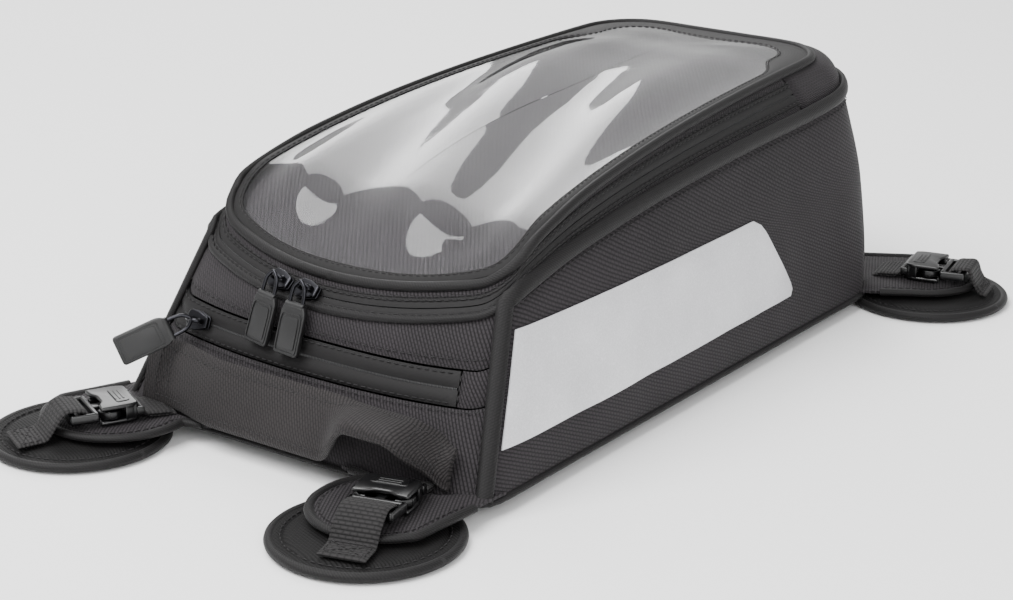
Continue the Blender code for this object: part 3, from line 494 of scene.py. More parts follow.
NEAR_SEAM, FAR_SEAM = 6, 19     # places round the ring of the upright seams, on the right
SEAM, ZIP, RIM = 4, 6, 8        # rows of the upper seam, the main zip and the lid's rim
ROWS = shell_rows()
RING = ROWS.shape[1]
SHELL, GUSSET = ghosted(ROWS[:SEAM + 1]), ghosted(ROWS[SEAM:])
ZIP_END = np.interp(222.0, ROWS[ZIP, NEAR_SEAM:22, 1], np.arange(NEAR_SEAM, 22))


def curve_weights(f):
    """Catmull-Rom weights of the four points round a place."""
    return np.stack([0.5 * (-f + 2 * f ** 2 - f ** 3), 0.5 * (2 - 5 * f ** 2 + 3 * f ** 3),
                     0.5 * (f + 4 * f ** 2 - 3 * f ** 3), 0.5 * (-f ** 2 + f ** 3)], -1)


def surface(u, v, upper=False):
    """Smooth surface points. Upper is the gusset above the seam, rows 4 to 8."""
    u, v = np.broadcast_arrays(np.asarray(u, float), np.asarray(v, float))
    grid, low = (GUSSET, SEAM) if upper else (SHELL, 0)
    iu = np.floor(u).astype(int)
    iv = np.clip(np.floor(v).astype(int), low, low + 3)
    wu, wv = curve_weights(u - iu), curve_weights(v - iv)
    return sum((wv[..., a] * wu[..., b])[..., None] * grid[iv - low + a, (iu + b - 1) % RING]
               for a in range(4) for b in range(4))


def normals(u, v, upper=False):
    u, v, e = np.asarray(u, float), np.asarray(v, float), 0.03
    low = float(SEAM) if upper else 0.0
    above, below = (np.clip(v + d, low, low + 4.0) for d in (e, -e))
    return unit(np.cross(surface(u + e, v, upper) - surface(u - e, v, upper),
                         surface(u, above, upper) - surface(u, below, upper)))


def over(u, v, out, upper=False):
    return surface(u, v, upper) + normals(u, v, upper) * np.asarray(out)[..., None]


def even_us(u0, u1, v, step, upper):
    """Ring indices about evenly spaced in millimetres."""
    fine = np.linspace(u0, u1, 400)
    run = arc_length(surface(fine, np.full(400, v), upper))
    count = max(4, int(round(run[-1] / step)))
    return np.interp(np.linspace(0.0, run[-1], count + 1), run, fine)


def wrinkle(points, scale, seed, stretch=(1.0, 1.0, 1.0)):
    """A soft random field over points, from -1 to 1, the same each run."""
    flat = points.reshape(-1, 3) * np.array(stretch) / scale + seed * 7.31
    made = [noise.noise(Vector(p)) + 0.4 * noise.noise(Vector(p * 2.3)) for p in flat]
    return np.array(made).reshape(points.shape[:2])


def sheet(size):
    """Takes a sheet's size and widens a strip that is too narrow to the least width; nothing is kept or
    returned.
    """
    if size[1] < NARROW:
        size = (size[0], NARROW)


def skin(name, u0, u1, v0, v1, look, body, node, step=2.6, thick=1.9, puff=0.5, folds=0.5,
         seed=1.0, trim=(0.3, 0.3, 0.3, 0.3), groove=0.8):
    """A fabric panel of the shell: it dips into its seams, swells between them and has soft folds."""
    upper = v0 >= SEAM
    us = even_us(u0, u1, 0.5 * (v0 + v1), step, upper)
    middle = us[len(us) // 2]
    height = np.linalg.norm(surface(middle, v1, upper) - surface(middle, v0, upper))
    uu, vv = np.meshgrid(us, np.linspace(v0, v1, max(5, int(round(height / step)) + 1)))
    flat = surface(uu, vv, upper)
    along, up = arc_length(flat, 1), arc_length(flat, 0)
    total_u, total_v = along[:, -1:], up[-1:, :]
    s = (trim[0] + along / total_u * (total_u - trim[0] - trim[1])) / total_u
    t = (trim[2] + up / total_v * (total_v - trim[2] - trim[3])) / total_v
    uu, vv = np.interp(s, np.linspace(0, 1, len(us)), us), lerp(v0, v1, t)
    base, norm = surface(uu, vv, upper), normals(uu, vv, upper)
    near = np.minimum(np.minimum(along, total_u - along), np.minimum(up, total_v - up))
    out = -groove * bell(near / 1.3) + puff * (1.0 - np.exp(-near / 11.0))
    out = out + folds * wrinkle(base, 34.0, seed) * smooth(near / 9.0)
    made = slab(name, base + norm * out[..., None], base + norm * (out * 0.6 - thick)[..., None],
                look, body, np.stack([along - 0.5 * total_u, up], -1), node=node)
    sheet((float(total_u.mean()) * MM, float(total_v.mean()) * MM))


# ---------------- camera, floor and light
def make_camera():
    camera = bpy.data.objects.new("camera", bpy.data.cameras.new("camera"))
    bpy.context.scene.collection.objects.link(camera)
    azimuth, elevation = math.radians(37.226), math.radians(18.878)
    distance, shift_right, shift_up = 0.87305, 0.066955, 0.054899
    back = Vector((math.sin(azimuth) * math.cos(elevation),
                   -math.cos(azimuth) * math.cos(elevation), math.sin(elevation)))
    right = Vector((math.cos(azimuth), math.sin(azimuth), 0.0))
    up = back.cross(right)
    camera.matrix_world = Matrix((right, up, back)).transposed().to_4x4()
    camera.location = (back * distance + right * shift_right + up * shift_up
                       + Vector((0.0, SHIFT * MM, 0.0)))
    camera.data.lens, camera.data.sensor_width = 85.29, 36.0
    camera.data.dof.use_dof = False
    bpy.context.scene.camera = camera


def softbox(name, place, target, size, power):
    data = bpy.data.lights.new(name, "AREA")
    data.shape = "RECTANGLE"
    data.size, data.size_y = size
    data.energy = power
    light = bpy.data.objects.new(name, data)
    bpy.context.scene.collection.objects.link(light)
    light.location = place
    light.rotation_euler = (Vector(target) - Vector(place)).to_track_quat("-Z", "Y").to_euler()


def make_stage():
    mesh = bpy.data.meshes.new("floor")
    edit(mesh, lambda bm: bmesh.ops.create_grid(bm, x_segments=1, y_segments=1, size=6.0))
    floor = bpy.data.objects.new("floor", mesh)
    floor.location = (0.0, 0.0, -0.0006)
    bpy.context.scene.collection.objects.link(floor)
    n = Nodes("floor_white")
    n.set(base_color=(0.93, 0.93, 0.93, 1.0), roughness=0.7, specular_ior_level=0.2)
    mesh.materials.append(n.mat)
    world = bpy.data.worlds.new("studio")
    bpy.context.scene.world = world
    world.use_nodes = True
    sky = world.node_tree.nodes["Background"].inputs
    sky["Color"].default_value = (1.0, 1.0, 1.0, 1.0)
    sky["Strength"].default_value = 0.85
    softbox("key", (-0.25, -0.85, 1.55), (0.0, 0.0, 0.0), (1.5, 1.2), 58.0)
    softbox("right_side", (1.25, -0.95, 0.8), (0.0, 0.0, 0.05), (1.1, 0.9), 17.0)
    softbox("back", (-1.074, 0.934, 1.26), (0.0, 0.0, 0.05), (0.85, 1.7), 21.0)


# ---------------- shell fabric
def build_shell():
    left, near, e = RING - FAR_SEAM, NEAR_SEAM, ZIP_END
    lap = 0.03      # the bar end's panel reaches under its neighbours
    tape = dict(puff=0.1, folds=0.15, thick=1.3, groove=0.3, step=2.0, trim=(0.4, 0.4, 0.25, 0.25))
    pocket = dict(puff=0.3, folds=0.2, thick=1.5, groove=0.6, step=2.0, trim=(0.3, 0.3, 0.4, 0.5), seed=13)
    for name, u0, u1, v0, v1, look, body, node, extra in (
            ("fabric_side_right", near, FAR_SEAM, 0, 4, RIBBED, "bag", "side_panel_right",
             dict(seed=2, folds=0.6)),
            ("fabric_side_left", left, RING - near, 0, 4, RIBBED, "bag", "side_panel_left",
             dict(seed=5, folds=0.6)),
            ("fabric_bar_end", FAR_SEAM - lap, left + lap, 0, 4, RIBBED, "bag", "bar_end_panel",
             dict(seed=3, trim=(0.0, 0.0, 0.3, 0.3))),
            ("fabric_rider_lower", -near, near, 0, 2, SLANTED, "bag", "rider_panel_lower",
             dict(seed=4, puff=0.8)),
            ("fabric_rider_upper", -near, near, 3, 4, SLANTED, "bag", "rider_panel_upper",
             dict(seed=6, puff=0.7)),
            ("fabric_pocket_end", 4, near, 2, 3, SLANTED, "bag", "pocket_zip_end",
             dict(seed=7, folds=0.2)),
            ("fabric_zip_gusset", -e, e, 4, 5, SLANTED, "bag", "zip_gusset_body",
             dict(seed=8, puff=0.4, folds=0.35, thick=1.6)),
            ("fabric_bar_end_gusset", e, RING - e, 4, 8, SLANTED, "bag", "bar_end_gusset",
             dict(seed=9, puff=0.5, folds=0.4, trim=(0.3, 0.3, 0.3, 0.7))),
            ("fabric_lid_gusset", -e, e, 7, 8, SLANTED, "lid", "lid_gusset",
             dict(seed=10, puff=0.4, folds=0.3, thick=1.5, trim=(0.4, 0.4, 0.4, 0.6))),
            ("fabric_tape_body", -e, e, 5, 6, TAPE, "bag", "zip_tape_body", dict(tape, seed=11)),
            ("fabric_tape_lid", -e, e, 6, 7, TAPE, "lid", "zip_tape_lid", dict(tape, seed=12)),
            ("pocket_tape_low", -near, 4, 2.0, 2.5, TAPE, "bag", "pocket_zip_tape", pocket),
            ("pocket_tape_high", -near, 4, 2.5, 3.0, TAPE, "bag", "pocket_zip_tape", pocket)):
        skin(name, u0, u1, v0, v1, look, body, node, **extra)


def line_on(u0, u1, v, out, upper=False, step=2.5):
    """Points and outward normals along a ring at one level."""
    us = even_us(u0, u1, v, step, upper)
    return over(us, float(v), out, upper), normals(us, float(v), upper)


def rise_on(u, v0, v1, out, step=2.5):
    """Points and outward normals up the shell at one place round it."""
    vs = np.linspace(v0, v1, max(3, int(abs(v1 - v0) * 14 / step)))
    return over(float(u), vs, out), normals(float(u), vs)


def teeth(name, u0, u1, v, out, body, upper, side, pitch=1.5):
    """One side of a zip's coil: small rounded beads that reach over the middle line."""
    line, up = line_on(u0, u1, v, out, upper, pitch)
    profile = ((-1.0, 0.3), (-0.7, 0.9), (0.3, 1.0), (0.9, 0.8), (1.05, 0.2))
    centres = 0.5 * (line[1:] + line[:-1]) if side > 0 else line
    beads(name, [[(centre - across * side * (0.35 - s * 1.15), tangent * 0.52 * r, top * 0.6 * r, s)
                  for s, r in profile]
                 for centre, tangent, across, top in zip(centres, *frames_along(line, up))], 6, COIL, body)


def build_seams():
    """Bound seams, the main and pocket zip coils, and the rows of stitching beside them."""
    near, e = NEAR_SEAM, ZIP_END
    corner, corner_up = rise_on(near, 0.05, SEAM, 0.9)
    top, top_up = line_on(near, RING - near, SEAM, 0.9)
    path, up = (np.concatenate([a[:-1], b, (a * FLIP)[::-1][1:]])
                for a, b in ((corner, top), (corner_up, top_up)))
    tube("binding_seam", path, 3.1, BINDING, "bag", up, sides=14, squash=0.5, node="seam_piping")
    edge, edge_up = line_on(-near, near, SEAM, 0.4)
    tube("binding_rider_edge", edge, 1.3, BINDING, "bag", edge_up, sides=8, squash=0.6)
    rim, rim_up = line_on(0.0, RING, RIM, 0.5, True, 2.2)
    tube("binding_lid", rim[:-1], 1.9, BINDING, "lid", rim_up[:-1], closed=True, sides=12,
         squash=0.8, node="lid_piping")
    for name, v, body in (("binding_lid_gusset", 7.0, "lid"), ("binding_zip_gusset", 5.0, "bag")):
        edge, edge_up = line_on(-e, e, v, -0.45, True)
        tube(name, edge, 0.85, BINDING, body, edge_up, sides=8, squash=0.8)
    for name, u0, u1, v, out, body, upper, side in (
            ("coil_body", 0.05 - e, e - 0.05, ZIP, -1.35, "bag", True, 1),
            ("coil_lid", 0.05 - e, e - 0.05, ZIP, -1.35, "lid", True, -1),
            ("coil_pocket_low", -5.7, 3.9, 2.5, -1.2, "bag", False, 1),
            ("coil_pocket_high", -5.7, 3.9, 2.5, -1.2, "bag", False, -1)):
        teeth(name, u0, u1, v, out, body, upper, side)
    rows = [line_on(6.5, RING - 6.5, 3.8, 0.5), line_on(-5.8, 5.8, 1.9, 0.7),
            line_on(-5.8, 5.8, 3.2, 0.2), rise_on(6.55, 0.1, 3.8, 0.6), rise_on(5.55, 0.1, 1.9, 0.5),
            rise_on(-6.55, 0.1, 3.8, 0.6), rise_on(-5.55, 0.1, 1.9, 0.5),
            line_on(-e, e, 4.18, 0.45, True), line_on(-e, e, 4.84, 0.4, True),
            line_on(-e, e, 5.16, 0.1, True), rise_on(4.06, 2.1, 2.9, 0.4),
            line_on(-5.8, 3.8, 2.1, 0.1), line_on(-5.8, 3.8, 2.9, 0.1)]
    stitches("stitching_bag", rows, "bag")
    rows = [line_on(-e, e, 7.2, 0.3, True), line_on(-e, e, 6.84, 0.1, True)]
    stitches("stitching_lid_gusset", rows, "lid")


# ---------------- lid
def border_inset(y):
    """Inner edge of the lid's border: narrow round the sides, wide at the hinge end."""
    return lerp(4.6, 13.5, smooth((y - 212.0) / 26.0))


def lid_grid(first, last, count, rise, step=4.0):
    """Rings of points from the rim inwards, each end given as millimetres in or as a function of y."""
    us = even_us(0.0, RING, RIM, step, True)[:-1]
    rim = surface(us, float(RIM), True)
    spine = np.stack([np.zeros(len(us)), np.clip(rim[:, 1], 50.0, 222.0)], 1)
    to = spine - rim[:, :2]
    size = np.linalg.norm(to, axis=1)
    near, far = ((end(rim[:, 1]) if callable(end) else end * np.ones(len(us)))
                 for end in (first, size if last is None else last))
    rows = []
    for t in np.linspace(0.0, 1.0, count):
        inset = lerp(near, far, t ** 1.25)
        x, y = (rim[:, :2] + to / size[:, None] * inset[:, None]).T
        rows.append(np.stack([x, y, rim_height(y) + rise(x, y, inset)], 1))
    return np.array(rows)


def border_rise(x, y, inset):
    return 0.9 + 0.5 * np.sin(np.clip((inset - 0.9) / border_inset(y), 0, 1) * math.pi)


def film_rise(x, y, inset):
    """How far the film stands over the rim's surface: sewn at its edge, loose ripples inside."""
    top = lerp(0.9, 4.6, smooth((y - 70.0) / 110.0)) * (1.0 - 0.55 * smooth((y - 205.0) / 35.0))
    ridge = (np.sin(2.0 * math.pi * (x + 0.30 * (y - 60.0)) / 58.0 + 0.9)
             * (1.0 - smooth((y - 140.0) / 80.0)))
    ripple = np.array([noise.noise(Vector((a * 0.020 + b * 0.006, b * 0.010 - a * 0.006, 0.7)))
                       + 0.35 * noise.noise(Vector((a * 0.05 + b * 0.01, b * 0.018 - a * 0.01, 3.1)))
                       for a, b in zip(x, y)])
    return (lerp(0.4, top, smooth((inset - 4.0) / 30.0)) + 0.5
            + (1.1 * ripple + 2.7 * ridge) * smooth((inset - 6.0) / 20.0))


def closed_ring(name, grid, thick, look, node, uv=None):
    """A sheet of the lid from rings of points, and its area in square metres."""
    welded = uv is None
    uv = grid[..., :2] if welded else uv
    made = slab(name, grid, grid - np.array((0.0, 0.0, thick)), look, "lid", uv, ring=True, node=node)
    if welded:
        edit(made.data, lambda bm: bmesh.ops.remove_doubles(bm, verts=bm.verts, dist=0.00002))
    steps = np.cross(grid[1:] - grid[:-1], np.roll(grid, -1, 1)[:-1] - grid[:-1])
    return made, float(np.linalg.norm(steps, axis=2).sum()) * MM * MM


def build_lid():
    border = lid_grid(0.9, border_inset, 8, border_rise)
    run = arc_length(np.concatenate([border, border[:, :1]], 1), 1)[:, :-1]
    across = np.broadcast_to(np.linspace(0, 6.0, 8)[:, None], run.shape)
    flat = np.stack([run, across], -1)
    made, area = closed_ring("lid_border_tape", border, 1.2, TAPE, "lid_border", flat)
    sheet((float(run[:, -1].max()) * MM, NARROW))
    film = lid_grid(lambda y: border_inset(y) - 1.0, None, 26, film_rise)
    floor = lid_grid(2.6, None, 18, lambda x, y, inset: -lerp(2.9, 5.4, smooth((inset - 2.6) / 26.0)))
    for name, grid, thick, look, node, size, rests in (
            ("window_clear", film, 0.45, FILM, "window_film", (0.135, 0.247), "map_pocket_floor"),
            ("map_floor_cloth", floor, 1.3, FLOOR_CLOTH, "map_pocket_floor", (0.135, 0.252), "lid_gusset")):
        made, area = closed_ring(name, grid, thick, look, node)
        sheet(size)
    ring = lid_grid(lambda y: border_inset(y) - 0.9, border_inset, 2, lambda x, y, inset: 1.35)[0]
    stitches("stitching_lid", [(np.concatenate([ring, ring[:1]]), UP)], "lid", pitch=2.9, length=2.1)
    ring = lid_grid(border_inset, 14.0, 2, lambda x, y, inset: 0.85)[0]
    tube("window_bead", ring, 0.5, BINDING, "lid", closed=True, sides=8)


# ---------------- reflective patches
def build_patches():
    """Two stiff patches, laid on the sides between two heights and two places along the bag."""
    low, high, slope = 21.0, 57.5, 1.8
    long_end, short_end = 200.0, 175.5
    s, t = np.meshgrid(np.linspace(0, 1, 64), np.linspace(0, 1, 15))
    level = lerp(low, high, t)
    z = level + slope * s
    seam = surface(float(NEAR_SEAM), np.linspace(0.0, 4.0, 81))
    start = np.interp(level, seam[:, 2], seam[:, 1]) + 3.4
    end = lerp(long_end, short_end, t) - 4.0 * np.abs(2 * t - 1) ** 10
    y = lerp(start, end, s)
    u, v = np.full(s.shape, 10.0), np.full(s.shape, 2.0)
    for _ in range(30):
        p = surface(u, v)
        pu, pv = (surface(u + 0.1, v) - p) * 10, (surface(u, v + 0.1) - p) * 10
        ey, ez = y - p[..., 1], z - p[..., 2]
        det = pu[..., 1] * pv[..., 2] - pu[..., 2] * pv[..., 1]
        u = np.clip(u + 0.7 * (ey * pv[..., 2] - ez * pv[..., 1]) / det, 6.05, 18.8)
        v = np.clip(v + 0.7 * (pu[..., 1] * ez - pu[..., 2] * ey) / det, 0.05, 3.95)
    base, norm = surface(u, v), normals(u, v)
    near = np.minimum(np.minimum(s * 180, (1 - s) * 180), np.minimum(t * 36, (1 - t) * 36))
    for side, mirror, seed in (("right", np.ones(3), 2), ("left", FLIP, 5)):
        soft = 1.45 + 0.6 * wrinkle(base * mirror, 34.0, seed) - 0.35 * bell(near / 1.2)
        outer = base + norm * soft[..., None]
        made = slab("patch_" + side, outer * mirror, (outer - norm * 0.6) * mirror, SILVER, "bag",
                    np.stack([y, z], -1), node="reflective_" + side)
        sheet((0.1825, 0.0375))


# ---------------- handle
HANDLE_X = (-71.5, 73.5)


def handle_line(x):
    """Low, middle and high edge points of the handle's band at a place across the bag."""
    def face_y(z):
        return lerp(-19.0, 0.5, (z - 5.0) / 50.0)
    lift = smooth((x - 20.0) / 20.0) * (1.0 - smooth((x - 56.0) / 16.0))
    ends = smooth((x + 62.0) / 34.0) * (1.0 - smooth((x - 60.0) / 8.0))
    low_z = 9.6 + 17.0 * lift
    high_z = 32.5 - 1.0 * lift - 9.0 * smooth((x - 58.0) / 15.0)
    low_y = face_y(9.6) - 1.6 - 6.4 * ends - 7.0 * lift
    high_y = face_y(high_z) - 1.6 - 6.4 * ends
    middle = (0.5 * (low_y + high_y) - 1.5 - 3.0 * lift, 0.5 * (low_z + high_z) + 2.0 * lift)
    return np.array((low_y, low_z)), np.array(middle), np.array((high_y, high_z))


def build_handle():
    xs, ts = np.linspace(*HANDLE_X, 74), np.linspace(0.0, 1.0, 15)
    grid = np.zeros((len(ts), len(xs), 3))
    for c, x in enumerate(xs):
        low, mid, high = handle_line(x)
        ctrl = 2.0 * mid - 0.5 * (low + high)
        for r, t in enumerate(ts):
            grid[r, c] = (x, *bend(low, ctrl, high, t))
    norm = unit(np.cross(np.gradient(grid, axis=1), np.gradient(grid, axis=0)))
    t = ts[:, None] * np.ones(len(xs))
    edge = np.minimum(t, 1 - t) * 24.0
    ends = np.minimum(grid[..., 0] - HANDLE_X[0], HANDLE_X[1] - grid[..., 0])
    soft = 0.7 * wrinkle(grid, 26.0, 21, (1.0, 1.0, 2.0)) * smooth(edge / 5.0)
    rib, fold = 0.35 * bell((edge - 3.4) / 0.9), 0.9 * bell((ends - 6.0) / 1.5)
    half = 1.15 - 0.75 * bell(edge / 0.9)
    outer = grid + norm * (soft + half - rib + 0.35 * fold)[..., None]
    inner = grid + norm * (soft - half + 0.2)[..., None]
    uv = np.stack([arc_length(grid, 1), arc_length(grid, 0)], -1)
    made = slab("handle_strap", outer, inner, HANDLE_WEB, "handle", uv, node="handle_band")
    sheet((0.15, 0.025))
    lines = [(outer[r, 3:-3], norm[r, 3:-3]) for r in (2, 12)]
    lines += [(outer[2:13, c], norm[2:13, c]) for c in (3, 6, -7, -4)]
    for c0, c1 in ((3, 6), (-4, -7)):
        places = [(2 + round(10 * k / 6.0), c0 + round((c1 - c0) * k / 6.0)) for k in range(7)]
        lines.append(tuple(np.array([source[r, c] for r, c in places]) for source in (outer, norm)))
    stitches("stitching_handle", lines, "handle", pitch=2.6, length=1.9, radius=0.26)


# ---------------- rounded plates
def prism(first, outline, z0, z1, bevel, steps=3):
    """Vertices and faces of a plate with rounded edges from a plan outline, run anticlockwise."""
    p = outline
    ahead, behind = unit(np.roll(p, -1, 0) - p), unit(p - np.roll(p, 1, 0))
    mitre = unit(ahead + behind)
    out = np.stack([mitre[:, 1], -mitre[:, 0]], 1)
    lean = np.abs((out * np.stack([ahead[:, 1], -ahead[:, 0]], 1)).sum(1))
    out = out / np.maximum(0.5, lean)[:, None]
    rows = []
    for k in range(steps + 1):
        a = 0.5 * math.pi * k / steps
        rows.append((bevel * (1 - math.sin(a)), z0 + bevel * (1 - math.cos(a))))
    rows += [(inset, z1 - (z - z0)) for inset, z in rows[::-1]]
    verts = [(a, b, z) for inset, z in rows for a, b in p - out * inset]
    last = first + len(verts) - len(p)
    faces = grid_faces(len(rows), len(p), True, first)
    return verts, faces + [tuple(range(first, first + len(p)))[::-1], tuple(range(last, last + len(p)))]


def plates(name, parts, transform, look, body, node=None):
    """One piece from several rounded plates, each (outline, z0, z1, bevel) in a local frame."""
    verts, faces = [], []
    for outline, z0, z1, bevel in parts:
        p = np.asarray(outline, float)
        area = np.sum(p[:, 0] * np.roll(p[:, 1], -1) - np.roll(p[:, 0], -1) * p[:, 1])
        made, found = prism(len(verts), p if area > 0 else p[::-1], z0, z1, bevel)
        verts += made
        faces += found
    placed = np.array([transform(np.array(v)) for v in verts])
    return piece(name, placed, faces, look, body, placed[:, :2], node, 50.0)


def rounded(outline, radius=1.0, steps=4):
    """A plan outline with its corners rounded."""
    p = np.asarray(outline, float)
    made = []
    for i in range(len(p)):
        a, b, c = p[i - 1], p[i], p[(i + 1) % len(p)]
        reach = min(radius, 0.45 * np.linalg.norm(a - b), 0.45 * np.linalg.norm(c - b))
        start, end = b + unit(a - b) * reach, b + unit(c - b) * reach
        made += [bend(start, b, end, t) for t in np.arange(steps + 1) / steps]
    return np.array(made)


def box_outline(x0, x1, half, radius=1.0):
    return rounded([(x0, -half), (x1, -half), (x1, half), (x0, half)], radius)


def both_sides(points, radius, z0, z1, bevel):
    """A plate and its mirror image across the buckle's middle line."""
    return [(rounded([(x, side * y) for x, y in points], radius), z0, z1, bevel) for side in (1, -1)]


# ---------------- corner units
def unit_frame(key):
    """Places points of a corner unit, whose own first axis runs from the bag to the disc."""
    start, heading = CORNERS[key].start, math.radians(CORNERS[key].heading)
    c, s = math.cos(heading), math.sin(heading)
    return lambda p: np.array((start[0] + c * p[0] - s * p[1], start[1] + s * p[0] + c * p[1], p[2]))


def ribbon(name, path, width, thick, transform, body, node, ends=0.8):
    """A flat strap along (s, z) points: a smooth path with thin woven edges and a rolled end."""
    p = resample([(s, 0.0, z) for s, z in path], 1.0)
    tangent = unit(np.gradient(p, axis=0))
    up = np.stack([-tangent[:, 2], np.zeros(len(p)), tangent[:, 0]], 1)
    ws = np.concatenate([np.linspace(a, b, count)
                         for a, b, count in ((-0.5, -0.42, 3), (-0.36, 0.36, 9), (0.42, 0.5, 3))])
    run = arc_length(p)
    tip = np.minimum(run, run[-1] - run)
    faces = []
    for side in (1.0, -1.0):
        rows = []
        for w in ws:
            thin_edge = 1.0 - 0.75 * bell((0.5 - abs(w)) * width / 0.8)
            half = 0.5 * thick * thin_edge * (1.0 - 0.6 * bell(tip / ends))
            lift = 0.05 * math.cos(w * 5.0) * np.sin(run * 0.35)
            rows.append(p + np.array((0.0, w * width, 0.0)) + up * (side * half + lift)[:, None])
        faces.append(np.apply_along_axis(transform, 2, np.array(rows)))
    uv = np.stack(np.broadcast_arrays((ws * width)[:, None], run[None]), -1)
    made = slab(name, *faces, WEB, body, uv, node=node)
    sheet(tuple(sorted((float(run[-1]) * MM, width * MM), reverse=True)))
    return faces[0]


def build_buckle(key):
    """A side-release buckle: a hollow half with side windows, and a half with a strap bar and two arms."""
    place = unit_frame(key)
    low, high, mid = 9.0, 16.2, 12.6
    mouth = [(25.0, -10.4), (24.2, -5.5), (22.6, -3.0), (22.6, 3.0), (24.2, 5.5), (25.0, 10.4)]
    shell = rounded([(10.4, 9.2), (10.4, -9.2), (13.6, -10.4)] + mouth + [(13.6, 10.4)], 1.1)
    inset = rounded([(12.6, 6.4), (12.6, -6.4), (17.8, -7.0), (17.8, 7.0)], 1.4)
    parts = [(shell, high - 1.7, high, 0.7), (shell, low, low + 1.7, 0.7),
             (box_outline(10.6, 13.4, 9.8), low + 0.6, high - 0.6, 0.6),
             (inset, high - 0.4, high + 0.28, 0.25),
             (box_outline(8.3, 9.9, 10.0, 0.6), low + 2.2, high - 2.2, 0.7)]
    for walls in (
            ([(12.0, 8.0), (15.6, 8.0), (15.6, 10.5), (12.0, 9.8)], 0.6, low + 0.5, high - 0.5, 0.5),
            ([(15.0, 2.4), (23.6, 2.4), (23.6, 3.3), (15.0, 3.3)], 0.3, low + 1.2, low + 2.6, 0.2),
            ([(8.4, 8.6), (11.4, 8.6), (11.4, 10.3), (8.4, 10.3)], 0.5, low + 2.0, high - 2.0, 0.5)):
        parts += both_sides(*walls)
    parts += [(box_outline(s, s + 0.7, 4.4, 0.3), high + 0.1, high + 0.5, 0.18) for s in (14.0, 15.5, 17.0)]
    plates("buckle_body_" + key, parts, place, PLASTIC, "flap_" + key, "buckle_female_" + key)
    under, over_top = mid - 1.8, mid + 1.8
    bars = [(rounded([(25.35, -10.3), (27.4, -10.5), (27.4, 10.5), (25.35, 10.3)], 0.8),
             under, over_top, 0.7),
            (box_outline(29.4, 31.2, 9.6, 0.7), mid - 1.2, mid + 1.3, 0.6),
            (rounded([(33.6, -9.9), (36.0, -9.2), (36.0, 9.2), (33.6, 9.9)], 0.9), under, over_top, 0.8),
            (rounded([(26.0, -2.0), (15.0, -1.4), (14.0, -0.8), (14.0, 0.8), (15.0, 1.4), (26.0, 2.0)], 0.5),
             mid - 1.3, mid + 1.3, 0.5)]
    bars += both_sides([(25.6, 8.5), (35.6, 8.2), (35.8, 9.6), (25.6, 10.5)], 0.6, under, over_top, 0.7)
    plates("buckle_clip_" + key, bars, place, PLASTIC, "clip_" + key, "buckle_male_" + key)
    arms = both_sides([(24.9, 5.1), (19.4, 6.5), (16.9, 5.7), (16.4, 7.2), (17.4, 9.4), (19.2, 10.5),
                       (21.8, 10.6), (23.6, 8.8), (24.9, 7.3)], 0.7, mid - 1.5, mid + 1.5, 0.5)
    grips = both_sides([(18.0, 9.9), (21.6, 10.2), (21.6, 10.9), (19.0, 10.9)], 0.7,
                       mid - 1.4, mid + 1.4, 0.2)
    for letter, *arm in zip("ab", arms, grips):
        name = "%s_%s" % (letter, key)
        plates("buckle_arm_" + name, arm, place, PLASTIC, "arm_" + name, "buckle_arm_" + name)


def flap_outline(key):
    """A flap's plan: its root follows the bag's bottom edge and its tip is round."""
    source = CORNERS["far_right" if key == "far_left" else key]
    us = np.linspace(*source.span, 25)
    along = surface(us + 0.2, 0.0) - surface(us - 0.2, 0.0)
    out = unit(np.stack([along[:, 1], -along[:, 0]], 1))
    root = surface(us, 0.0)[:, :2] + out * 0.4
    middle = np.array(source.tip)
    heading = math.atan2(*(middle - root[12])[::-1])
    angles = heading + np.radians(np.linspace(95.0, -95.0, 41))
    tip = middle + np.stack([np.cos(angles), np.sin(angles)], 1) * source.radius
    if np.linalg.norm(tip[0] - root[-1]) > np.linalg.norm(tip[-1] - root[-1]):
        tip = tip[::-1]
    if key == "far_left":
        root, tip = root * (-1, 1), tip * (-1, 1)
    return root, tip


def dome(name, ring, height_at, low, look, body, node, seed, rings=14):
    """A padded plate: rings of points from its outline to its middle, flat underneath."""
    p = np.asarray(ring, float)
    middle = p.mean(0)
    size = np.linalg.norm(p - middle, axis=1)
    rows = []
    for t in np.linspace(0.0, 1.0, rings) ** 1.4:
        q = lerp(p, middle, t * 0.985)
        edge = t * size
        rough = np.array([noise.noise(Vector((a / 9.0, b / 9.0, seed))) for a, b in q])
        rows.append(np.column_stack([q, low + height_at(edge) + 0.25 * rough * smooth(edge / 6.0)]))
    top = np.array(rows)
    under = top.copy()
    under[..., 2] = low
    under[0, :, 2] = low + 0.35 * height_at(np.zeros(1))[0]
    made = slab(name, top, under, look, body, top[..., :2], ring=True, node=node)
    edit(made.data, lambda bm: bmesh.ops.holes_fill(
        bm, edges=[edge for edge in bm.edges if edge.is_boundary], sides=0))
    return made


def build_flap(key):
    root, tip = flap_outline(key)
    body = "flap_" + key
    outline = np.concatenate([root, tip])
    fine = resample(np.column_stack([outline, np.zeros(len(outline))]), 1.6, True)[:, :2]
    made = dome("flap_cloth_" + key, fine, lambda e: 1.5 + 0.75 * smooth(e / 7.0), 6.15, SLANTED, body,
                "flap_" + key, 3.0 + len(key))
    rim = [lerp(root[-1], tip[0], k) for k in (0.35, 0.7)] + list(tip)
    rim += [lerp(tip[-1], root[0], k) for k in (0.3, 0.65)]
    line = resample([(x, y, 7.25) for x, y in rim], 1.6)
    tube("flap_binding_" + key, line, 1.9, BINDING, body, sides=12, squash=0.78)
    line[:, :2] += unit(outline.mean(0) - line[:, :2]) * 3.0
    line[:, 2] = 8.25
    stitches("stitching_flap_" + key, [(line, UP)], body, pitch=3.0, length=2.2, lift=0.1)


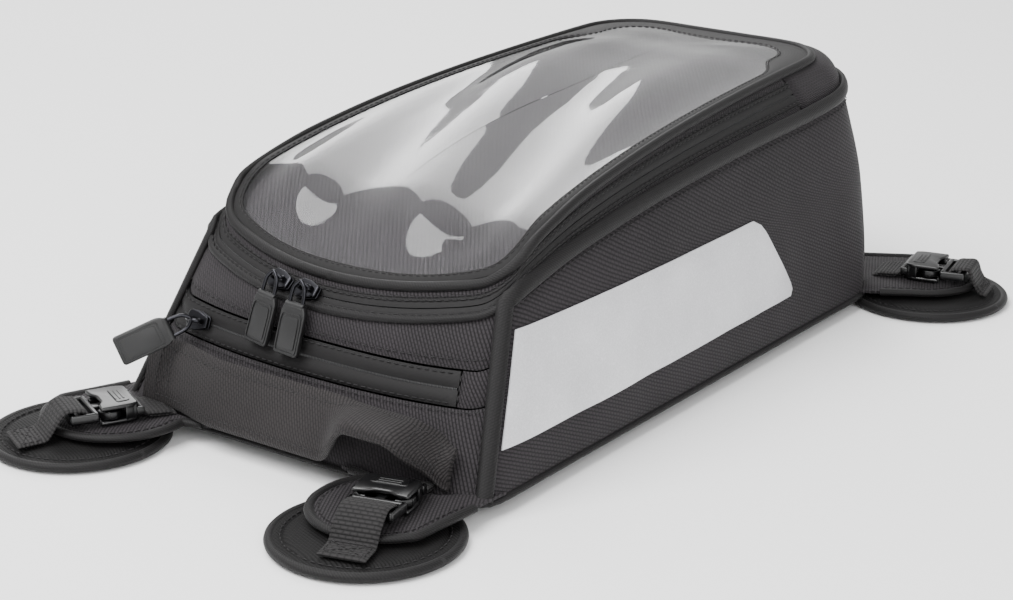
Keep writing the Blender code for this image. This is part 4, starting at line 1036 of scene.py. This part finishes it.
PAD_R, EDGE_R, QUILT_R = 33.2, 32.4, 28.6       # a disc's pad, its binding and its stitching


def disc_height(edge):
    """Thickness of a disc's pad at a distance in from its edge, with a quilted groove."""
    pad = 2.7 + 1.5 * (1.0 - np.exp(-edge / 7.0))
    return pad - 0.9 * bell((edge - 5.6) / 1.0) + 0.5 * smooth((edge - 6.0) / 24.0)


def build_disc(key):
    centre = np.array(CORNERS[key].disc)
    body = "magnet_" + key
    angles = np.linspace(0.0, 2.0 * math.pi, 121)[:-1]
    circle = np.stack([np.cos(angles), np.sin(angles)], 1)
    made = dome("disc_pad_" + key, centre + circle * PAD_R, disc_height, 0.05, COVER, body,
                "disc_" + key, 11.0 + len(key), rings=22)
    edge, line = (np.column_stack([centre + circle * radius, np.full(120, z)])
                  for radius, z in ((EDGE_R, 1.85), (QUILT_R, 3.35)))
    tube("disc_binding_" + key, edge, 1.85, BINDING, body, closed=True, sides=12, squash=0.95)
    stitches("stitching_disc_" + key, [(np.concatenate([line, line[:1]]), UP)], body, pitch=3.2, length=2.3)


def disc_top(r):
    """Height of a disc's face at a distance from its centre."""
    return float(np.interp(abs(r), (0.0, 14.0, 26.0, 32.8, 34.0), (5.0, 4.85, 4.2, 3.6, 2.4)))


def build_straps(key):
    place = unit_frame(key)
    disc, tip, radius, start, heading, _ = CORNERS[key]
    turn = math.radians(heading)
    root = [(-4.0, 9.0), (4.0, 9.4), (6.4, 10.0), (8.4, 12.0), (9.2, 13.3), (9.9, 12.2), (8.9, 10.9),
            (6.6, 10.6), (3.0, 10.2), (-2.0, 9.9)]
    ribbon("strap_root_" + key, root, 18.4, 1.2, place, "flap_" + key, "flap_strap_" + key)
    reach = math.hypot(disc[0] - start[0], disc[1] - start[1])
    ahead = np.array((math.cos(turn), math.sin(turn)))
    to_tip = np.array(tip) - np.array(start)
    along, side = to_tip @ ahead, to_tip @ np.array((-ahead[1], ahead[0]))
    edge = max([along + math.sqrt(max(radius ** 2 - (side - lane) ** 2, 0.0))
                for lane in (-9.0, -4.5, 0.0, 4.5, 9.0)] + [38.0])
    route = [(28.6, 12.2), (30.3, 14.9), (33.5, 15.5), (37.4, 15.4), (edge + 0.6, 11.0)]
    route += [(s, disc_top(s - reach) + rise)
              for s, rise in ((edge + 3.8, 2.0), (edge + 6.6, 1.35), (reach + 26.0, 1.2))]
    top = ribbon("strap_disc_" + key, route, 17.4, 1.5, place, "magnet_" + key,
                 "disc_strap_" + key, ends=0.7)
    a = int(top.shape[1] * 0.72)
    lines = [top[2, a:-2], top[-3, a:-2], top[2:-2, a], top[2:-2, -3]]
    for r0, r1 in ((2, -3), (-3, 2)):
        lines.append(np.array([lerp(top[r0, a], top[r1, -3], k / 5.0) for k in range(6)]))
    stitches("stitching_strap_" + key, [(line, UP) for line in lines], "magnet_" + key,
             pitch=2.3, length=1.7, radius=0.22, lift=0.15)


# ---------------- zip sliders and pulls
def local_frame(origin, x_axis, z_axis):
    """A function that places local points, and the second local axis."""
    x = unit(x_axis)
    y = unit(np.cross(z_axis, x))
    base = np.stack([x, y, np.cross(x, y)], 1)
    return lambda p: np.asarray(origin) + base @ np.asarray(p, float), y


def build_slider(name, origin, along, normal, body):
    place, _ = local_frame(origin, along, normal)
    waist = rounded([(-5.0, -2.4), (-3.6, -3.8), (0.5, -3.6), (3.4, -2.6), (5.0, -2.2), (5.0, 2.2),
                     (3.4, 2.6), (0.5, 3.6), (-3.6, 3.8), (-5.0, 2.4)], 1.0)
    parts = [(waist, 1.6, 3.0, 0.5), (waist, 0.2, 1.3, 0.4),
             (box_outline(-1.2, 1.2, 1.2, 0.4), 0.6, 2.4, 0.2)]
    parts += [(box_outline(x0, x1, 1.1, 0.4), 2.6, 5.0, 0.4) for x0, x1 in ((-3.3, -1.9), (1.9, 3.3))]
    plates(name, parts, place, METAL, body, body)
    hoop = [(-2.7, 0, 4.4), (-2.3, 0, 5.6), (0, 0, 6.2), (2.3, 0, 5.6), (2.7, 0, 4.4)]
    tube(name + "_bridge", resample([place(q) for q in hoop], 0.5), 0.75, METAL, body,
         unit(np.cross(along, normal)))


def build_pull(name, origin, along, down, length, body):
    """A moulded pull with a raised border on its face, hung on a wire loop."""
    z_axis = unit(np.cross(along, down))
    place, second = local_frame(origin, along, z_axis)
    side = 1.0 if second @ np.asarray(down, float) > 0 else -1.0

    def tab(half, y0, y1, taper, radius):
        return rounded([(-half + taper, side * y0), (half - taper, side * y0), (half, side * (y0 + 3.0)),
                        (half, side * y1), (-half, side * y1), (-half, side * (y0 + 3.0))], radius)

    parts = [(tab(5.7, 7.6, length - 0.4, 1.6, 1.5), -1.15, 1.15, 0.55)]
    border, face = tab(4.9, 11.4, length - 1.4, 0.5, 1.1), tab(3.9, 12.6, length - 2.6, 0.4, 0.9)
    for z0, z1, face_z0, face_z1 in ((0.9, 1.5, 0.85, 1.22), (-1.5, -0.9, -1.5, -0.85)):
        for a, b in zip(border, np.roll(border, -1, 0)):
            if np.linalg.norm(a - b) >= 0.05:
                n = unit(np.array((b[1] - a[1], a[0] - b[0]))) * 0.24
                parts.append(([a - n, b - n, b + n, a + n], z0, z1, 0.08))
        parts.append((face, face_z0, face_z1, 0.12))
    plates(name + "_tab", parts, place, RUBBER, body, body)
    wire = [(-1.3, 0.2), (-2.6, 2.0), (-3.1, 5.0), (-3.2, 9.5)]
    wire = wire[::-1] + [(0.0, -0.7)] + [(-x, y) for x, y in wire]
    loop = resample([place((x, side * y, 0.0)) for x, y in wire], 0.6)
    tube(name + "_loop", loop, 0.72, METAL, body, z_axis)
    collar = [place((x, side * 8.6, 0.0)) for x in np.linspace(-4.3, 4.3, 7)]
    tube(name + "_collar", collar, 1.5, RUBBER, body, z_axis, sides=12, squash=0.9)


def build_zip_hardware():
    for number, degrees in ((1, -8.0), (2, -2.6)):
        angle = math.radians(degrees)
        across = over(0.0, 6.4, 0.0, True) - over(0.0, 5.6, 0.0, True)
        turn = np.array(Matrix.Rotation(angle, 3, Vector((0.0, -math.sin(TILT), math.cos(TILT)))))
        along = turn @ np.array((1.0, 0.0, 0.0))
        normal = turn @ unit(np.cross((1.0, 0.0, 0.0), across))
        spot = arc_point(ARC_R + HALF_BAND - 4.5, 3.6 * 0.36 - HALF_LIFT, angle)
        build_slider("slider_main_%d" % number, spot + normal * 0.35, along, normal,
                     "main_slider_%d" % number)
        build_pull("pull_main_%d" % number, spot + normal * 7.3, along, unit((0.0, -0.30, -0.95)), 27.0,
                   "main_pull_%d" % number)
    normal, spot = normals(0.0, 2.5), over(-3.45, 2.5, 0.0)
    build_slider("slider_pocket", spot + normal * 0.5, np.array((1.0, 0.0, 0.0)), normal, "pocket_slider")
    hang = unit((-0.56, -0.75, -0.36))
    across = np.array((0.35, 0.20, -0.90))
    across = unit(across - hang * (across @ hang))
    build_pull("pull_pocket", spot + normal * 7.6, across, hang, 29.0, "pocket_pull")


# ---------------- base
def build_base():
    us = even_us(0.0, RING, 0.0, 4.0, False)[:-1]
    edge = surface(us, 0.0)[:, :2]
    along = unit(np.roll(edge, -1, 0) - np.roll(edge, 1, 0))
    inward = np.stack([-along[:, 1], along[:, 0]], 1)
    board, foot = (edge + inward * 3.4, 4.9, 7.1, 0.8), (edge + inward * 11.0, 0.0, 4.65, 1.4)
    plates("base_board", [board], lambda p: p, PLAIN, "bag", "base_panel")
    made = plates("base_foot", [foot], lambda p: p, PAD, "bag", "base_pad")
    line = np.column_stack([edge + inward * 0.4, np.full(len(edge), 5.2)])
    tube("binding_base", line, 1.5, BINDING, "bag", closed=True, squash=0.8)


make_camera()
make_stage()
build_shell()
build_seams()
build_lid()
build_patches()
build_handle()
for corner in CORNERS:
    build_flap(corner)
    build_disc(corner)
    build_buckle(corner)
    build_straps(corner)
build_zip_hardware()
build_base()
